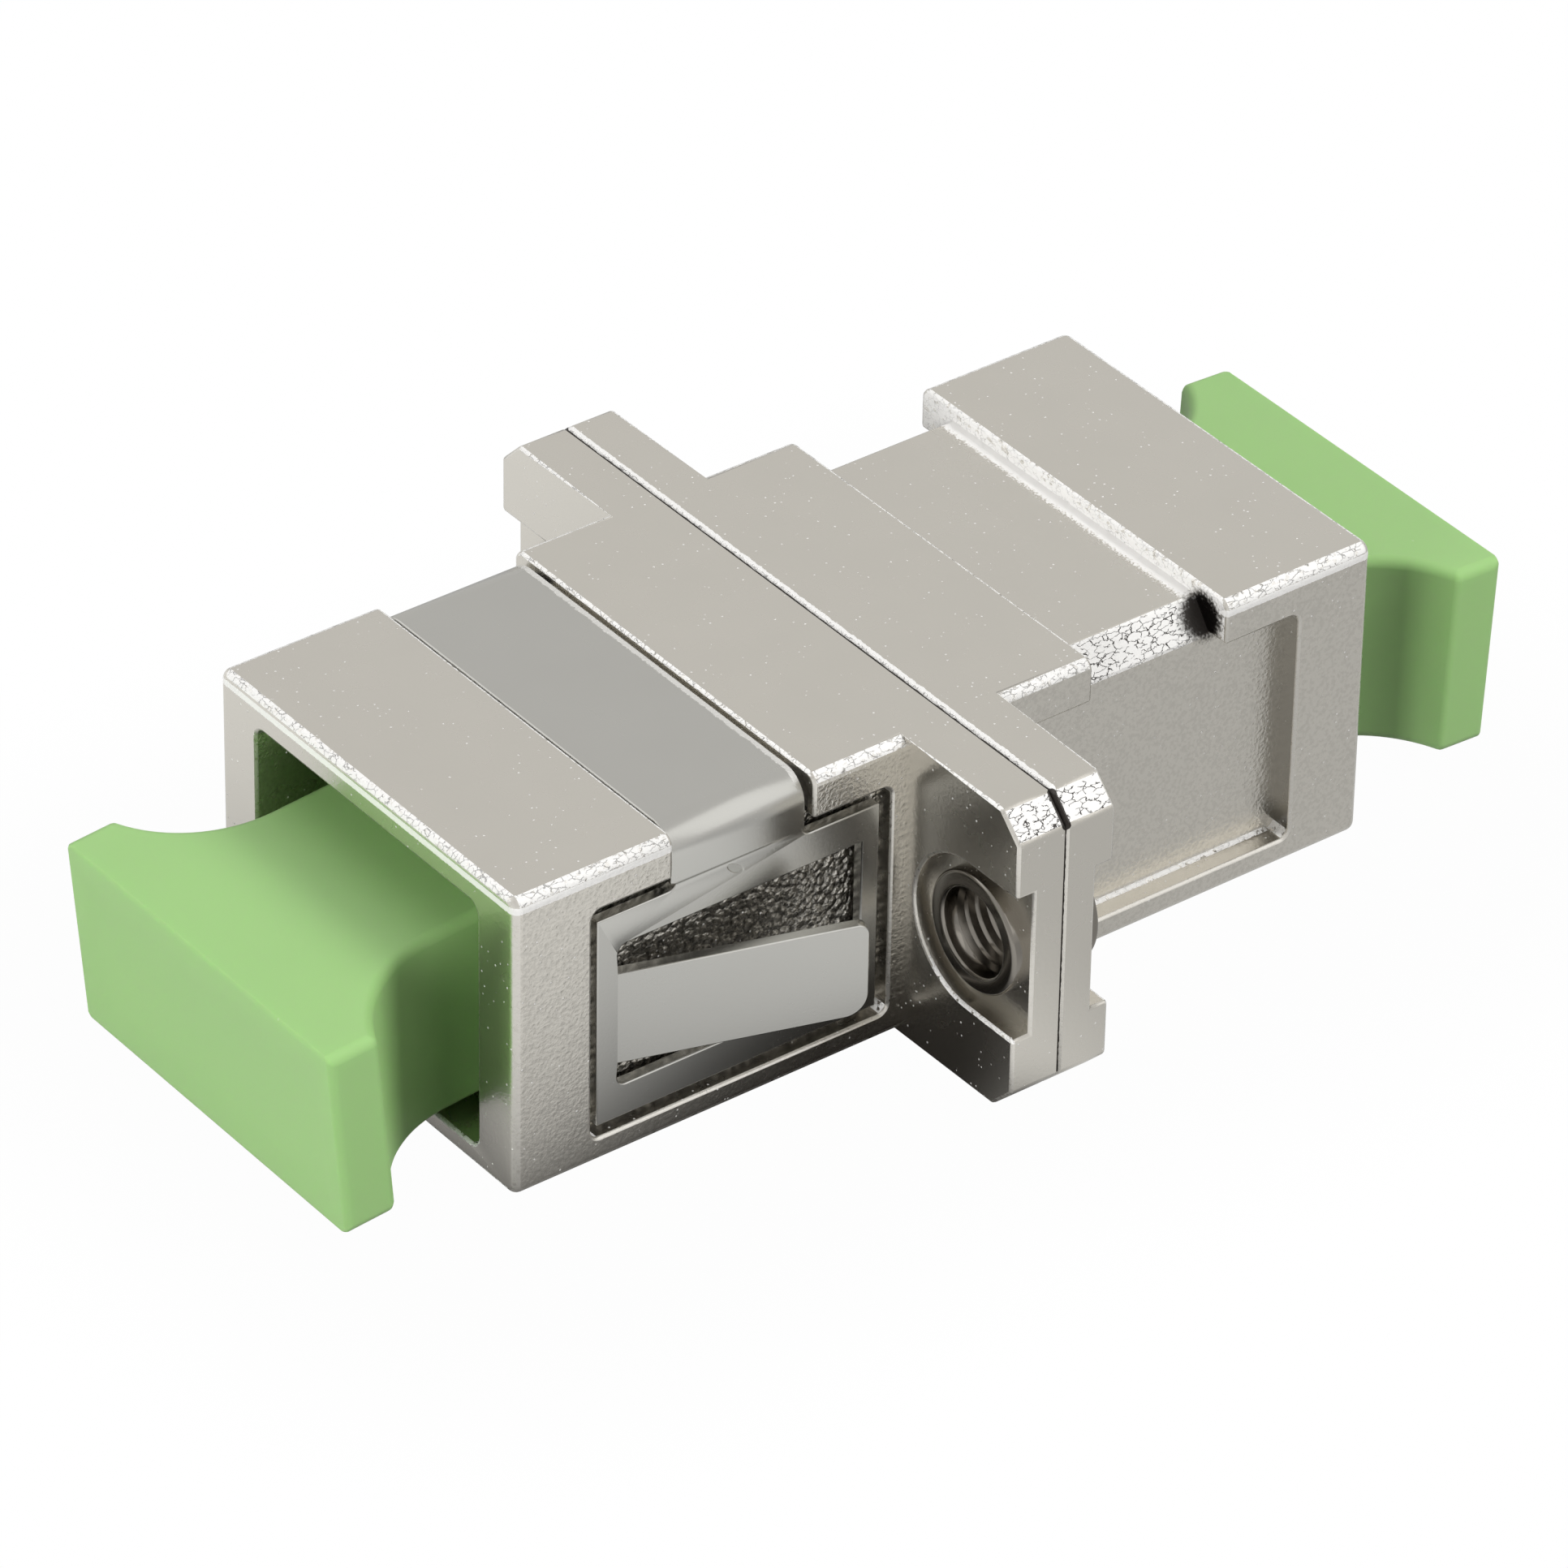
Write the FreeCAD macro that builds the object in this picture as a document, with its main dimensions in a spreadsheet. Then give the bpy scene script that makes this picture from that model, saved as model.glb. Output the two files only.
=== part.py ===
"""Fibre optic coupler, simplex, with a panel clip and two dust plugs.

Frame, in millimetres: Z is up and z = 0 is the underside of the two housings. The light path
runs along Y and the seam between the two halves is y = 0. X runs across the ears, x = 0 in
the middle. The half with the panel clip lies on the -Y side. The two halves, their inner
holders and the two plugs are alike, so each is drawn once on the -Y side and turned half a
turn about Z for the other end.
"""
import FreeCAD, Part
import math
import os
import re

import Sketcher

# Turn about Z that brings what is drawn on the -Y side to its own end, in degrees
TURNS = {"front": 0, "rear": 180}
NEAR = 1e-4

# Driving sizes, one value each, in millimetres, with angles in degrees
SIZES = [
    # Housing halves
    ("body_width", 12.9),
    ("body_height", 9.2),
    ("half_length", 13.8),
    ("edge_radius", 0.35),
    ("mouth_radius", 0.25),
    # Flange with its two ears
    ("flange_width", 22.15),
    ("flange_thickness", 1.55),
    ("ear_chamfer", 0.75),
    ("seam_chamfer", 0.08),
    # Socket for the connector
    ("opening_width", 9.7),
    ("wall_bottom", 0.65),
    ("wall_top", 1.0),
    ("opening_radius", 0.35),
    # Rivets and the pockets that sink their heads
    ("rivet_edge", 1.975),
    ("rivet_bore", 2.45),
    ("rivet_wall", 0.25),
    ("rivet_head", 3.46),
    ("rivet_head_height", 0.4),
    ("rivet_roll", 0.2),
    ("rivet_gap", 0.025),
    ("pocket_width", 4.4),
    ("pocket_depth", 0.55),
    # Panel clip, one folded sheet
    ("clip_sheet", 0.35),
    ("clip_back_gap", 0.7),
    ("clip_length", 8.9),
    ("clip_inset", 0.15),
    ("clip_bottom", 1.05),
    ("shoulder_drop", 1.75),
    ("neck_length", 3.9),
    ("neck_radius", 0.3),
    ("bend_radius", 0.45),
    ("window_offset", 0.65),
    ("window_back", 0.55),
    ("window_foot", 0.98),
    ("window_head", 0.99),
    ("window_radius", 0.3),
    ("tongue_foot", 0.72),
    ("tongue_head", 0.86),
    ("tongue_end_gap", 0.95),
    ("tongue_angle", 17.4),
    ("tongue_low_radius", 0.65),
    ("tongue_high_radius", 0.3),
    # Recess that the clip lies in
    ("recess_depth", 0.4),
    ("recess_gap", 0.27),
    ("recess_below", 0.25),
    ("recess_above", 0.5),
    ("recess_side_gap", 0.15),
    ("recess_radius", 0.3),
    ("bevel_width", 0.7),
    ("bevel_height", 0.95),
    # Inner holder with its barrel and latch arms
    ("holder_flange", 1.4),
    ("holder_lip", 0.35),
    ("holder_gap", 0.05),
    ("holder_radius", 0.3),
    ("barrel_width", 4.2),
    ("barrel_reach", 7.0),
    ("barrel_chamfer", 0.25),
    ("arm_thickness", 0.7),
    ("arm_height", 3.0),
    ("arm_reach", 9.0),
    ("arm_gap", 0.15),
    ("hook_depth", 0.4),
    ("hook_length", 1.4),
    ("hook_nose", 0.4),
    ("pin_width", 0.8),
    ("pin_height", 0.6),
    ("pin_gap", 0.05),
    ("pin_across", 4.2),
    ("pin_drop", 2.3),
    # Split sleeve
    ("sleeve_bore", 2.5),
    ("sleeve_wall", 0.35),
    ("sleeve_length", 11.4),
    ("sleeve_slit", 0.45),
    ("sleeve_gap", 0.075),
    ("sleeve_end_gap", 0.1),
    # Dust plug, measured along its own axis from the barrel's tip
    ("plug_side_gap", 0.1),
    ("plug_headroom", 0.925),
    ("plug_entry", 2.2),
    ("plug_reach", 11.85),
    ("plate_width", 11.7),
    ("plate_thickness", 1.5),
    ("scoop_radius", 3.5),
    ("plug_edge_radius", 0.35),
    ("plate_corner_radius", 0.4),
    ("plug_bore_depth", 7.0),
    ("panel_border", 0.75),
    ("panel_depth", 0.12),
    ("panel_radius", 0.3),
    # How each plug hangs on its barrel
    ("plug_slack", 0.36),
    ("front_plug_sag", 0.0),
    ("front_plug_lean", 5.0),
    ("rear_plug_sag", 0.3),
    ("rear_plug_lean", 2.9),
    # How far a cut is drawn past the edge that it opens
    ("cut_over", 1.0),
]

# Places and fits that follow from the driving sizes
DERIVED = [
    ("opening_height", "body_height - wall_bottom - wall_top"),
    ("axis_height", "wall_bottom + opening_height / 2"),
    ("ear_middle", "body_height / 2"),
    ("rivet_pitch", "flange_width - 2 * rivet_edge"),
    ("pocket_floor", "flange_thickness - pocket_depth"),
    ("rivet_tube", "rivet_bore + 2 * rivet_wall"),
    ("rivet_hole", "rivet_tube + 2 * rivet_gap"),
    ("recess_floor", "body_height - recess_depth"),
    ("clip_middle", "flange_thickness + clip_back_gap + clip_length / 2"),
    ("clip_front", "clip_middle + clip_length / 2"),
    ("clip_width", "body_width - 2 * clip_inset"),
    ("clip_inner_width", "clip_width - 2 * clip_sheet"),
    ("clip_top", "recess_floor + clip_sheet"),
    ("clip_shoulder", "clip_top - shoulder_drop"),
    ("clip_side_floor", "clip_inner_width / 2 - recess_side_gap"),
    ("window_front", "clip_front - window_offset"),
    ("window_length", "clip_length - window_offset - window_back"),
    ("window_bottom", "clip_bottom + window_foot"),
    ("window_top", "clip_shoulder - window_head"),
    ("tongue_bottom", "window_bottom + tongue_foot"),
    ("tongue_height", "window_top - tongue_head - tongue_bottom"),
    ("tongue_length", "window_length - tongue_end_gap"),
    ("seat_depth", "holder_flange + holder_gap"),
    ("seat_half_width", "opening_width / 2 + holder_lip"),
    ("seat_half_height", "opening_height / 2 + holder_lip / 2"),
    ("holder_bore", "sleeve_bore + 2 * sleeve_wall + 2 * sleeve_gap"),
    ("holder_bore_depth", "sleeve_length / 2 + sleeve_end_gap"),
    ("holder_throat", "sleeve_bore + sleeve_wall"),
    ("arm_outer", "opening_width / 2 - arm_gap"),
    ("arm_inner", "arm_outer - arm_thickness"),
    ("plug_width", "2 * (arm_inner - hook_depth - plug_side_gap)"),
    ("plug_height", "opening_height - 2 * plug_headroom"),
    ("plug_bore", "barrel_width + 2 * plug_slack"),
]


def build_sheet(doc):
    """Write every size and every fit into the sheet, each under its own alias."""
    sheet = doc.addObject("Spreadsheet::Sheet", "Sizes")
    rows = SIZES + [(alias, "=" + text) for alias, text in DERIVED]
    for row, (alias, content) in enumerate(rows, start=1):
        sheet.set(f"A{row}", alias.replace("_", " "))
        sheet.set(f"B{row}", str(content))
        sheet.setAlias(f"B{row}", alias)
    doc.recompute()
    return sheet


def bound(text):
    """Turn the size words of an expression into references to the sheet."""
    return re.sub(r"\b[a-z]+(?:_[a-z]+)+\b", r"Sizes.\g<0>", text)


def number(thing, text):
    """The value that an expression has now."""
    result = thing.evalExpression(bound(text))
    return float(getattr(result, "Value", result))


def minus(text):
    return f"-({text})"


def new_body(doc, label, end="front"):
    """An empty body, turned about Z for the rear end."""
    body = doc.addObject("PartDesign::Body", label)
    body.Label = label
    body.Placement = FreeCAD.Placement(
        FreeCAD.Vector(0, 0, 0), FreeCAD.Rotation(FreeCAD.Vector(0, 0, 1), TURNS[end]))
    return body


def new_sketch(body, name, role, offset="0"):
    """A sketch on one of the body's own planes, moved along the plane's normal.

    The normal of XZ_Plane is -Y, so there a positive offset leads away from the seam.
    """
    plane = next(f for f in body.Origin.OriginFeatures if f.Role == role)
    sketch = body.newObject("Sketcher::SketchObject", name)
    sketch.AttachmentSupport = (plane, "")
    sketch.MapMode = "FlatFace"
    sketch.setExpression("AttachmentOffset.Base.z", bound(offset))
    return sketch


def place(sketch, edge, end, x, y):
    """Hold one end of an edge, or a point, at a bound place."""
    for kind, text in (("DistanceX", x), ("DistanceY", y)):
        held = Sketcher.Constraint(kind, -1, 1, edge, end, number(sketch, text))
        index = sketch.addConstraint(held)
        sketch.setExpression(f"Constraints[{index}]", bound(text))


def size_radius(sketch, edge, radius):
    index = sketch.addConstraint(Sketcher.Constraint("Radius", edge, number(sketch, radius)))
    sketch.setExpression(f"Constraints[{index}]", bound(radius))


def circle(sketch, x, y, radius):
    """A full circle."""
    centre = FreeCAD.Vector(number(sketch, x), number(sketch, y), 0)
    normal = FreeCAD.Vector(0, 0, 1)
    edge = sketch.addGeometry(Part.Circle(centre, normal, number(sketch, radius)), False)
    place(sketch, edge, 3, x, y)
    size_radius(sketch, edge, radius)


def outline(sketch, corners):
    """A closed outline of straight edges through (x, y) corners.

    A corner written (x, y, radius) is rounded by an arc tangent to both its edges.
    """
    spots = [FreeCAD.Vector(number(sketch, c[0]), number(sketch, c[1]), 0) for c in corners]
    count = len(spots)
    stops, starts = [], []
    for i, corner in enumerate(corners):
        back = (spots[i - 1] - spots[i]).normalize()
        ahead = (spots[(i + 1) % count] - spots[i]).normalize()
        reach = 0.0
        if len(corner) == 3:
            reach = number(sketch, corner[2]) / math.tan(back.getAngle(ahead) / 2)
        stops.append(spots[i] + back * reach)
        starts.append(spots[i] + ahead * reach)
    edges = []
    for i in range(count):
        line = Part.LineSegment(starts[i], stops[(i + 1) % count])
        edges.append(sketch.addGeometry(line, False))
    for i, corner in enumerate(corners):
        if len(corner) == 3:
            round_corner(sketch, corner, spots[i], stops[i], starts[i], edges[i - 1], edges[i])
        else:
            sketch.addConstraint(Sketcher.Constraint("Coincident", edges[i - 1], 2, edges[i], 1))
            place(sketch, edges[i], 1, corner[0], corner[1])


def round_corner(sketch, corner, spot, stop, start, before, after):
    """Join two edges by a tangent arc and hold the sharp corner that they point at."""
    radius = number(sketch, corner[2])
    middle = (stop + start) * 0.5
    depth = math.hypot(radius, stop.distanceToPoint(spot))
    centre = spot + (middle - spot).normalize() * depth
    top = centre + (spot - centre).normalize() * radius
    arc = sketch.addGeometry(Part.Arc(stop, top, start), False)
    first = sketch.getPoint(arc, 1).distanceToPoint(stop) < NEAR
    begin, finish = (1, 2) if first else (2, 1)
    sketch.addConstraint(Sketcher.Constraint("Tangent", before, 2, arc, begin))
    sketch.addConstraint(Sketcher.Constraint("Tangent", arc, finish, after, 1))
    size_radius(sketch, arc, corner[2])
    point = sketch.addGeometry(Part.Point(spot), True)
    sketch.addConstraint(Sketcher.Constraint("PointOnObject", point, 1, before))
    sketch.addConstraint(Sketcher.Constraint("PointOnObject", point, 1, after))
    place(sketch, point, 1, corner[0], corner[1])


def rectangle(left, bottom, right, top, radius=None):
    """Corners of an upright rectangle, all rounded alike or all sharp."""
    corners = [(left, bottom), (right, bottom), (right, top), (left, top)]
    if radius is None:
        return corners
    return [corner + (radius,) for corner in corners]


def centred(width, bottom, top, radius=None):
    """Corners of a rectangle that is centred on x = 0."""
    return rectangle(f"-{width} / 2", bottom, f"{width} / 2", top, radius)


def pad(body, sketch, name, length, both=False):
    """Add material along the sketch's normal, or half of it to each side."""
    feature = body.newObject("PartDesign::Pad", name)
    feature.Profile = sketch
    feature.setExpression("Length", bound(length))
    feature.SideType = "Symmetric" if both else "One side"
    body.Document.recompute()
    return feature


def pocket(body, sketch, name, length, both=False, backward=False):
    """Take material away along the sketch's normal, to both sides, or backward."""
    before = body.Shape.Volume
    feature = body.newObject("PartDesign::Pocket", name)
    feature.Profile = sketch
    feature.setExpression("Length", bound(length))
    feature.SideType = "Symmetric" if both else "One side"
    feature.Reversed = not (both or backward)
    body.Document.recompute()
    if not feature.Shape.Volume < before - NEAR:
        raise RuntimeError(f"{body.Label}: {name} takes nothing away")
    return feature


def revolve(body, sketch, name):
    """Turn a half section once round the sketch's upright axis."""
    feature = body.newObject("PartDesign::Revolution", name)
    feature.Profile = sketch
    feature.ReferenceAxis = (sketch, ["V_Axis"])
    feature.Angle = 360
    body.Document.recompute()
    return feature


def soften(body, kind, name, size, chosen):
    """Fillet or chamfer the edges of the body that a test picks."""
    names = []
    for index, edge in enumerate(body.Tip.Shape.Edges, start=1):
        if chosen(edge):
            names.append(f"Edge{index}")
    if not names:
        raise RuntimeError(f"{body.Label}: {name} finds no edge")
    base = body.Tip
    feature = body.newObject("PartDesign::" + kind, name)
    feature.Base = (base, names)
    feature.setExpression("Radius" if kind == "Fillet" else "Size", bound(size))
    body.Document.recompute()
    return feature


def lies_at(edge, axis, level):
    """True when the whole edge lies in the plane axis = level of the body's own frame."""
    box = edge.BoundBox
    low, high = getattr(box, axis + "Min"), getattr(box, axis + "Max")
    return abs(low - level) < NEAR and abs(high - level) < NEAR


def housing(doc, end):
    """One cast half: flange with ears, block, socket, clip recess, rivet pockets."""
    body = new_body(doc, f"{end}_housing", end)
    housing_walls(body)
    housing_ears(body)
    housing_recess(body)
    return body


def housing_walls(body):
    """The flange, the block behind it, the socket and the seat of the inner holder."""
    flange = new_sketch(body, "flange_outline", "XZ_Plane")
    half, near_half = "flange_width / 2", "flange_width / 2 - ear_chamfer"
    low, high = "ear_chamfer", "body_height - ear_chamfer"
    outline(flange, [
        (minus(near_half), "0"), (near_half, "0"), (half, low), (half, high),
        (near_half, "body_height"), (minus(near_half), "body_height"),
        (minus(half), high), (minus(half), low)])
    pad(body, flange, "flange", "flange_thickness")
    soften(body, "Chamfer", "seam_edge", "seam_chamfer", lambda edge: lies_at(edge, "Y", 0))

    block = new_sketch(body, "block_outline", "XZ_Plane", "flange_thickness")
    outline(block, centred("body_width", "0", "body_height", "edge_radius"))
    pad(body, block, "block", "half_length - flange_thickness")
    end = -number(body, "half_length")
    soften(body, "Fillet", "mouth_edge", "mouth_radius", lambda edge: lies_at(edge, "Y", end))

    socket = new_sketch(body, "socket_outline", "XZ_Plane")
    outline(socket, centred("opening_width", "wall_bottom", "wall_bottom + opening_height",
                            "opening_radius"))
    pocket(body, socket, "socket", "half_length")
    seat = new_sketch(body, "holder_seat_outline", "XZ_Plane")
    outline(seat, rectangle("-seat_half_width", "axis_height - seat_half_height",
                            "seat_half_width", "axis_height + seat_half_height",
                            "holder_radius"))
    pocket(body, seat, "holder_seat", "seat_depth")


def housing_ears(body):
    """A rivet hole in each ear and the pocket, open at the ear's end, round its head."""
    holes = new_sketch(body, "rivet_hole_outline", "XZ_Plane")
    rounds = new_sketch(body, "pocket_round_outline", "XZ_Plane", "pocket_floor")
    for sign in ("", "-"):
        circle(holes, f"{sign}rivet_pitch / 2", "ear_middle", "rivet_hole / 2")
        circle(rounds, f"{sign}rivet_pitch / 2", "ear_middle", "pocket_width / 2")
    pocket(body, holes, "rivet_holes", "flange_thickness")
    pocket(body, rounds, "pocket_rounds", "pocket_depth")
    slots = new_sketch(body, "pocket_slot_outline", "XZ_Plane", "pocket_floor")
    low, high = "ear_middle - pocket_width / 2", "ear_middle + pocket_width / 2"
    for near_x, far_x in (("rivet_pitch / 2", "flange_width / 2 + cut_over"),
                          ("-flange_width / 2 - cut_over", "-rivet_pitch / 2")):
        outline(slots, rectangle(near_x, low, far_x, high))
    pocket(body, slots, "pocket_slots", "pocket_depth")


def housing_recess(body):
    """The shallow recess for the clip: a wide field on each side and a channel over the top."""
    back = "-(clip_middle - clip_length / 2 - recess_gap)"
    front = "-(clip_front + recess_gap)"
    low, high = "clip_bottom - recess_below", "clip_shoulder + recess_above"
    for name, offset, backward in (("right", "clip_side_floor", False),
                                   ("left", "-clip_side_floor", True)):
        field = new_sketch(body, f"{name}_field_outline", "YZ_Plane", offset)
        outline(field, rectangle(front, low, back, high, "recess_radius"))
        pocket(body, field, f"{name}_field", "body_width / 2", backward=backward)
    channel = new_sketch(body, "channel_outline", "XZ_Plane",
                         "clip_middle - neck_length / 2 - recess_gap")
    side, shoulder = "clip_side_floor", "clip_side_floor - bevel_width"
    outer, above = "body_width / 2 + cut_over", "body_height + cut_over"
    foot = "recess_floor - bevel_height"
    outline(channel, [
        (outer, foot), (outer, above), (minus(outer), above), (minus(outer), foot),
        (minus(side), foot), (minus(shoulder), "recess_floor"),
        (shoulder, "recess_floor"), (side, foot)])
    pocket(body, channel, "channel", "neck_length + 2 * recess_gap")


def panel_clip(doc):
    """The folded clip: a bridge over the top, a wide frame and a sprung tongue each side."""
    body = new_body(doc, "panel_clip")
    section = new_sketch(body, "section", "XZ_Plane", "clip_middle - clip_length / 2")
    outer, inner = "clip_width / 2", "clip_inner_width / 2"
    outer_bend = "bend_radius + clip_sheet"
    outline(section, [
        (minus(outer), "clip_bottom"), (minus(inner), "clip_bottom"),
        (minus(inner), "recess_floor", "bend_radius"), (inner, "recess_floor", "bend_radius"),
        (inner, "clip_bottom"), (outer, "clip_bottom"),
        (outer, "clip_top", outer_bend), (minus(outer), "clip_top", outer_bend)])
    pad(body, section, "folded_sheet", "clip_length")

    shoulders = new_sketch(body, "shoulder_outline", "YZ_Plane")
    neck_front, neck_back = "-clip_middle - neck_length / 2", "-clip_middle + neck_length / 2"
    front, back = "-clip_front - cut_over", "-clip_middle + clip_length / 2 + cut_over"
    above = "clip_top + cut_over"
    outline(shoulders, [
        (front, "clip_shoulder"), (neck_front, "clip_shoulder", "neck_radius"),
        (neck_front, above), (front, above)])
    outline(shoulders, [
        (neck_back, "clip_shoulder", "neck_radius"), (back, "clip_shoulder"),
        (back, above), (neck_back, above)])
    pocket(body, shoulders, "shoulders", "clip_width + 2 * cut_over", both=True)

    window = new_sketch(body, "window_outline", "YZ_Plane")
    start, end = "-window_front", "-window_front + window_length"
    outline(window, [
        (start, "window_bottom", "window_radius"), (end, "window_bottom"),
        (end, "window_top"), (start, "window_top", "window_radius")])
    pocket(body, window, "windows", "clip_width + 2 * cut_over", both=True)
    for name, sign in (("right", ""), ("left", "-")):
        tongue(body, name, sign)
    return body


def tongue(body, name, sign):
    """One tongue: it grows from the front edge of the window and leans outwards."""
    outer, inner = "clip_width / 2", "clip_inner_width / 2"
    root = "-window_front - window_offset / 2"
    bend = "-window_front"
    tip_x = "clip_width / 2 + tongue_length * sin(tongue_angle)"
    tip_y = "-window_front + tongue_length * cos(tongue_angle)"
    strip = new_sketch(body, f"{name}_tongue_outline", "XY_Plane", "tongue_bottom")
    corners = [
        (inner, root), (outer, root), (outer, bend), (tip_x, tip_y),
        (f"{tip_x} - clip_sheet * cos(tongue_angle)", f"{tip_y} + clip_sheet * sin(tongue_angle)"),
        (inner, f"{bend} + clip_sheet * tan(tongue_angle / 2)")]
    outline(strip, [(f"{sign}({x})", y) for x, y in corners])
    pad(body, strip, f"{name}_tongue", "tongue_height")
    side = -1 if sign else 1
    tip = number(body, tip_x)
    for level, size in (("tongue_bottom", "tongue_low_radius"),
                        ("tongue_bottom + tongue_height", "tongue_high_radius")):
        height = number(body, level)
        soften(body, "Fillet", f"{name}_tip_{size}", size,
               lambda edge: is_tip_edge(edge, side, tip, height, number(body, "clip_sheet")))


def is_tip_edge(edge, side, tip, height, sheet):
    """The short edge across the sheet at the tongue's free end, at one height."""
    middle = edge.CenterOfMass
    short = abs(edge.Length - sheet) < NEAR
    at_tip = abs(side * middle.x - tip) < sheet
    return short and at_tip and abs(middle.z - height) < NEAR


def eyelet(doc, label, sign):
    """A hollow rivet through one pair of ears, its rims rolled over at both ends."""
    body = new_body(doc, label)
    section = new_sketch(body, "section", "XY_Plane")
    bore, tube, head = "rivet_bore / 2", "rivet_tube / 2", "rivet_head / 2"
    seat, end = "pocket_floor", "pocket_floor + rivet_head_height"
    outline(section, [
        (bore, minus(end), "rivet_roll"), (head, minus(end), "rivet_roll"),
        (head, minus(seat)), (tube, minus(seat)), (tube, seat), (head, seat),
        (head, end, "rivet_roll"), (bore, end, "rivet_roll")])
    revolve(body, section, "rolled_tube")
    body.setExpression("Placement.Base.x", bound(f"{sign}rivet_pitch / 2"))
    body.setExpression("Placement.Base.z", bound("ear_middle"))
    return body


def sleeve_holder(doc, end):
    """One moulded half: plate at the seam, barrel round the sleeve, two hooked latch arms."""
    body = new_body(doc, f"{end}_sleeve_holder", end)
    plate = new_sketch(body, "plate_outline", "XZ_Plane")
    wide, tall = "seat_half_width - holder_gap", "(seat_half_height - holder_gap)"
    outline(plate, rectangle(minus(wide), f"axis_height - {tall}", wide,
                             f"axis_height + {tall}", "holder_radius"))
    pad(body, plate, "plate", "holder_flange")
    barrel = new_sketch(body, "barrel_outline", "XZ_Plane")
    circle(barrel, "0", "axis_height", "barrel_width / 2")
    pad(body, barrel, "barrel", "barrel_reach")
    reach = number(body, "barrel_reach")
    soften(body, "Chamfer", "barrel_lead", "barrel_chamfer",
           lambda edge: abs(abs(edge.CenterOfMass.y) - reach) < NEAR)
    latch_arms(body)
    bore = new_sketch(body, "bore_outline", "XZ_Plane")
    circle(bore, "0", "axis_height", "holder_bore / 2")
    pocket(body, bore, "bore", "holder_bore_depth")
    throat = new_sketch(body, "throat_outline", "XZ_Plane")
    circle(throat, "0", "axis_height", "holder_throat / 2")
    pocket(body, throat, "throat", "barrel_reach")
    locating_pin(body)
    return body


def latch_arms(body):
    """Two flat arms beside the barrel, each with a hook that leans in at its end."""
    low = "axis_height - arm_height / 2"
    arms = new_sketch(body, "arm_outline", "XY_Plane", low)
    tip, nose = "-arm_reach", "arm_inner - hook_depth"
    heel = "-arm_reach + hook_length"
    for sign in ("", "-"):
        corners = [
            ("arm_outer", "-holder_flange / 2"), ("arm_outer", tip), ("arm_inner", tip),
            (nose, "-arm_reach + hook_depth"), (nose, "-arm_reach + hook_depth + hook_nose"),
            ("arm_inner", heel), ("arm_inner", "-holder_flange / 2")]
        outline(arms, [(f"{sign}({x})", y) for x, y in corners])
    pad(body, arms, "latch_arms", "arm_height")


def locating_pin(body):
    """A pin on one side of the plate and a hole for the other half's pin on the other."""
    height = "axis_height - pin_drop"
    hole = new_sketch(body, "pin_hole_outline", "XZ_Plane")
    circle(hole, "-pin_across", height, "pin_width / 2 + pin_gap")
    pocket(body, hole, "pin_hole", "pin_height + pin_gap")
    pin = new_sketch(body, "pin_outline", "XZ_Plane", "-pin_height")
    circle(pin, "pin_across", height, "pin_width / 2")
    pad(body, pin, "pin", "pin_height + holder_flange / 2")


def split_sleeve(doc):
    """The ceramic alignment tube, slit along its top."""
    body = new_body(doc, "split_sleeve")
    ring = new_sketch(body, "ring_outline", "XZ_Plane")
    circle(ring, "0", "axis_height", "sleeve_bore / 2 + sleeve_wall")
    circle(ring, "0", "axis_height", "sleeve_bore / 2")
    pad(body, ring, "tube", "sleeve_length", both=True)
    slit = new_sketch(body, "slit_outline", "XZ_Plane")
    outline(slit, centred("sleeve_slit", "axis_height", "axis_height + sleeve_bore"))
    pocket(body, slit, "slit", "sleeve_length + 2 * cut_over", both=True)
    return body


def dust_plug(doc, end):
    """A soft plug: block over the barrel, scooped flanks, wide plate to pull on.

    It is drawn about its own axis with y = 0 at the barrel's tip, and hangs on the barrel
    with a small sag and its outer end leaning down.
    """
    body = new_body(doc, f"{end}_dust_plug")
    plan = new_sketch(body, "plan", "XY_Plane", "-plug_height / 2")
    outline(plan, rectangle("-plate_width / 2", "-plug_reach", "plate_width / 2", "plug_entry"))
    pad(body, plan, "blank", "plug_height")
    flanks = new_sketch(body, "flank_outline", "XY_Plane")
    scoops = new_sketch(body, "scoop_outline", "XY_Plane")
    short_side = "(plate_width / 2 - plug_width / 2 - scoop_radius)"
    long_side = f"sqrt(scoop_radius * scoop_radius - {short_side} * {short_side})"
    middle = f"plate_thickness - plug_reach + {long_side}"
    for sign in ("", "-"):
        circle(scoops, f"{sign}(plug_width / 2 + scoop_radius)", middle, "scoop_radius")
        near_x, far_x = f"{sign}(plug_width / 2)", f"{sign}(plate_width / 2 + cut_over)"
        outline(flanks, rectangle(near_x, middle, far_x, "plug_entry + cut_over"))
    pocket(body, flanks, "flanks", "plug_height + 2 * cut_over", both=True)
    pocket(body, scoops, "scoops", "plug_height + 2 * cut_over", both=True)
    soften_plug(body)

    panel = new_sketch(body, "panel_outline", "XZ_Plane", "plug_reach")
    outline(panel, rectangle(
        "-plate_width / 2 + panel_border", "-plug_height / 2 + panel_border",
        "plate_width / 2 - panel_border", "plug_height / 2 - panel_border", "panel_radius"))
    pocket(body, panel, "panel", "panel_depth", backward=True)
    bore = new_sketch(body, "bore_outline", "XZ_Plane", "-plug_entry")
    circle(bore, "0", "0", "plug_bore / 2")
    pocket(body, bore, "bore", "plug_bore_depth")
    turn = TURNS[end]
    seat = f"vector(0; -barrel_reach * cos({turn}); axis_height - {end}_plug_sag)"
    lean = f"rotation(vector(0; 0; 1); {turn}) * rotation(vector(1; 0; 0); {end}_plug_lean)"
    body.setExpression("Placement", bound(f"placement({seat}; {lean})"))
    return body


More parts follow.
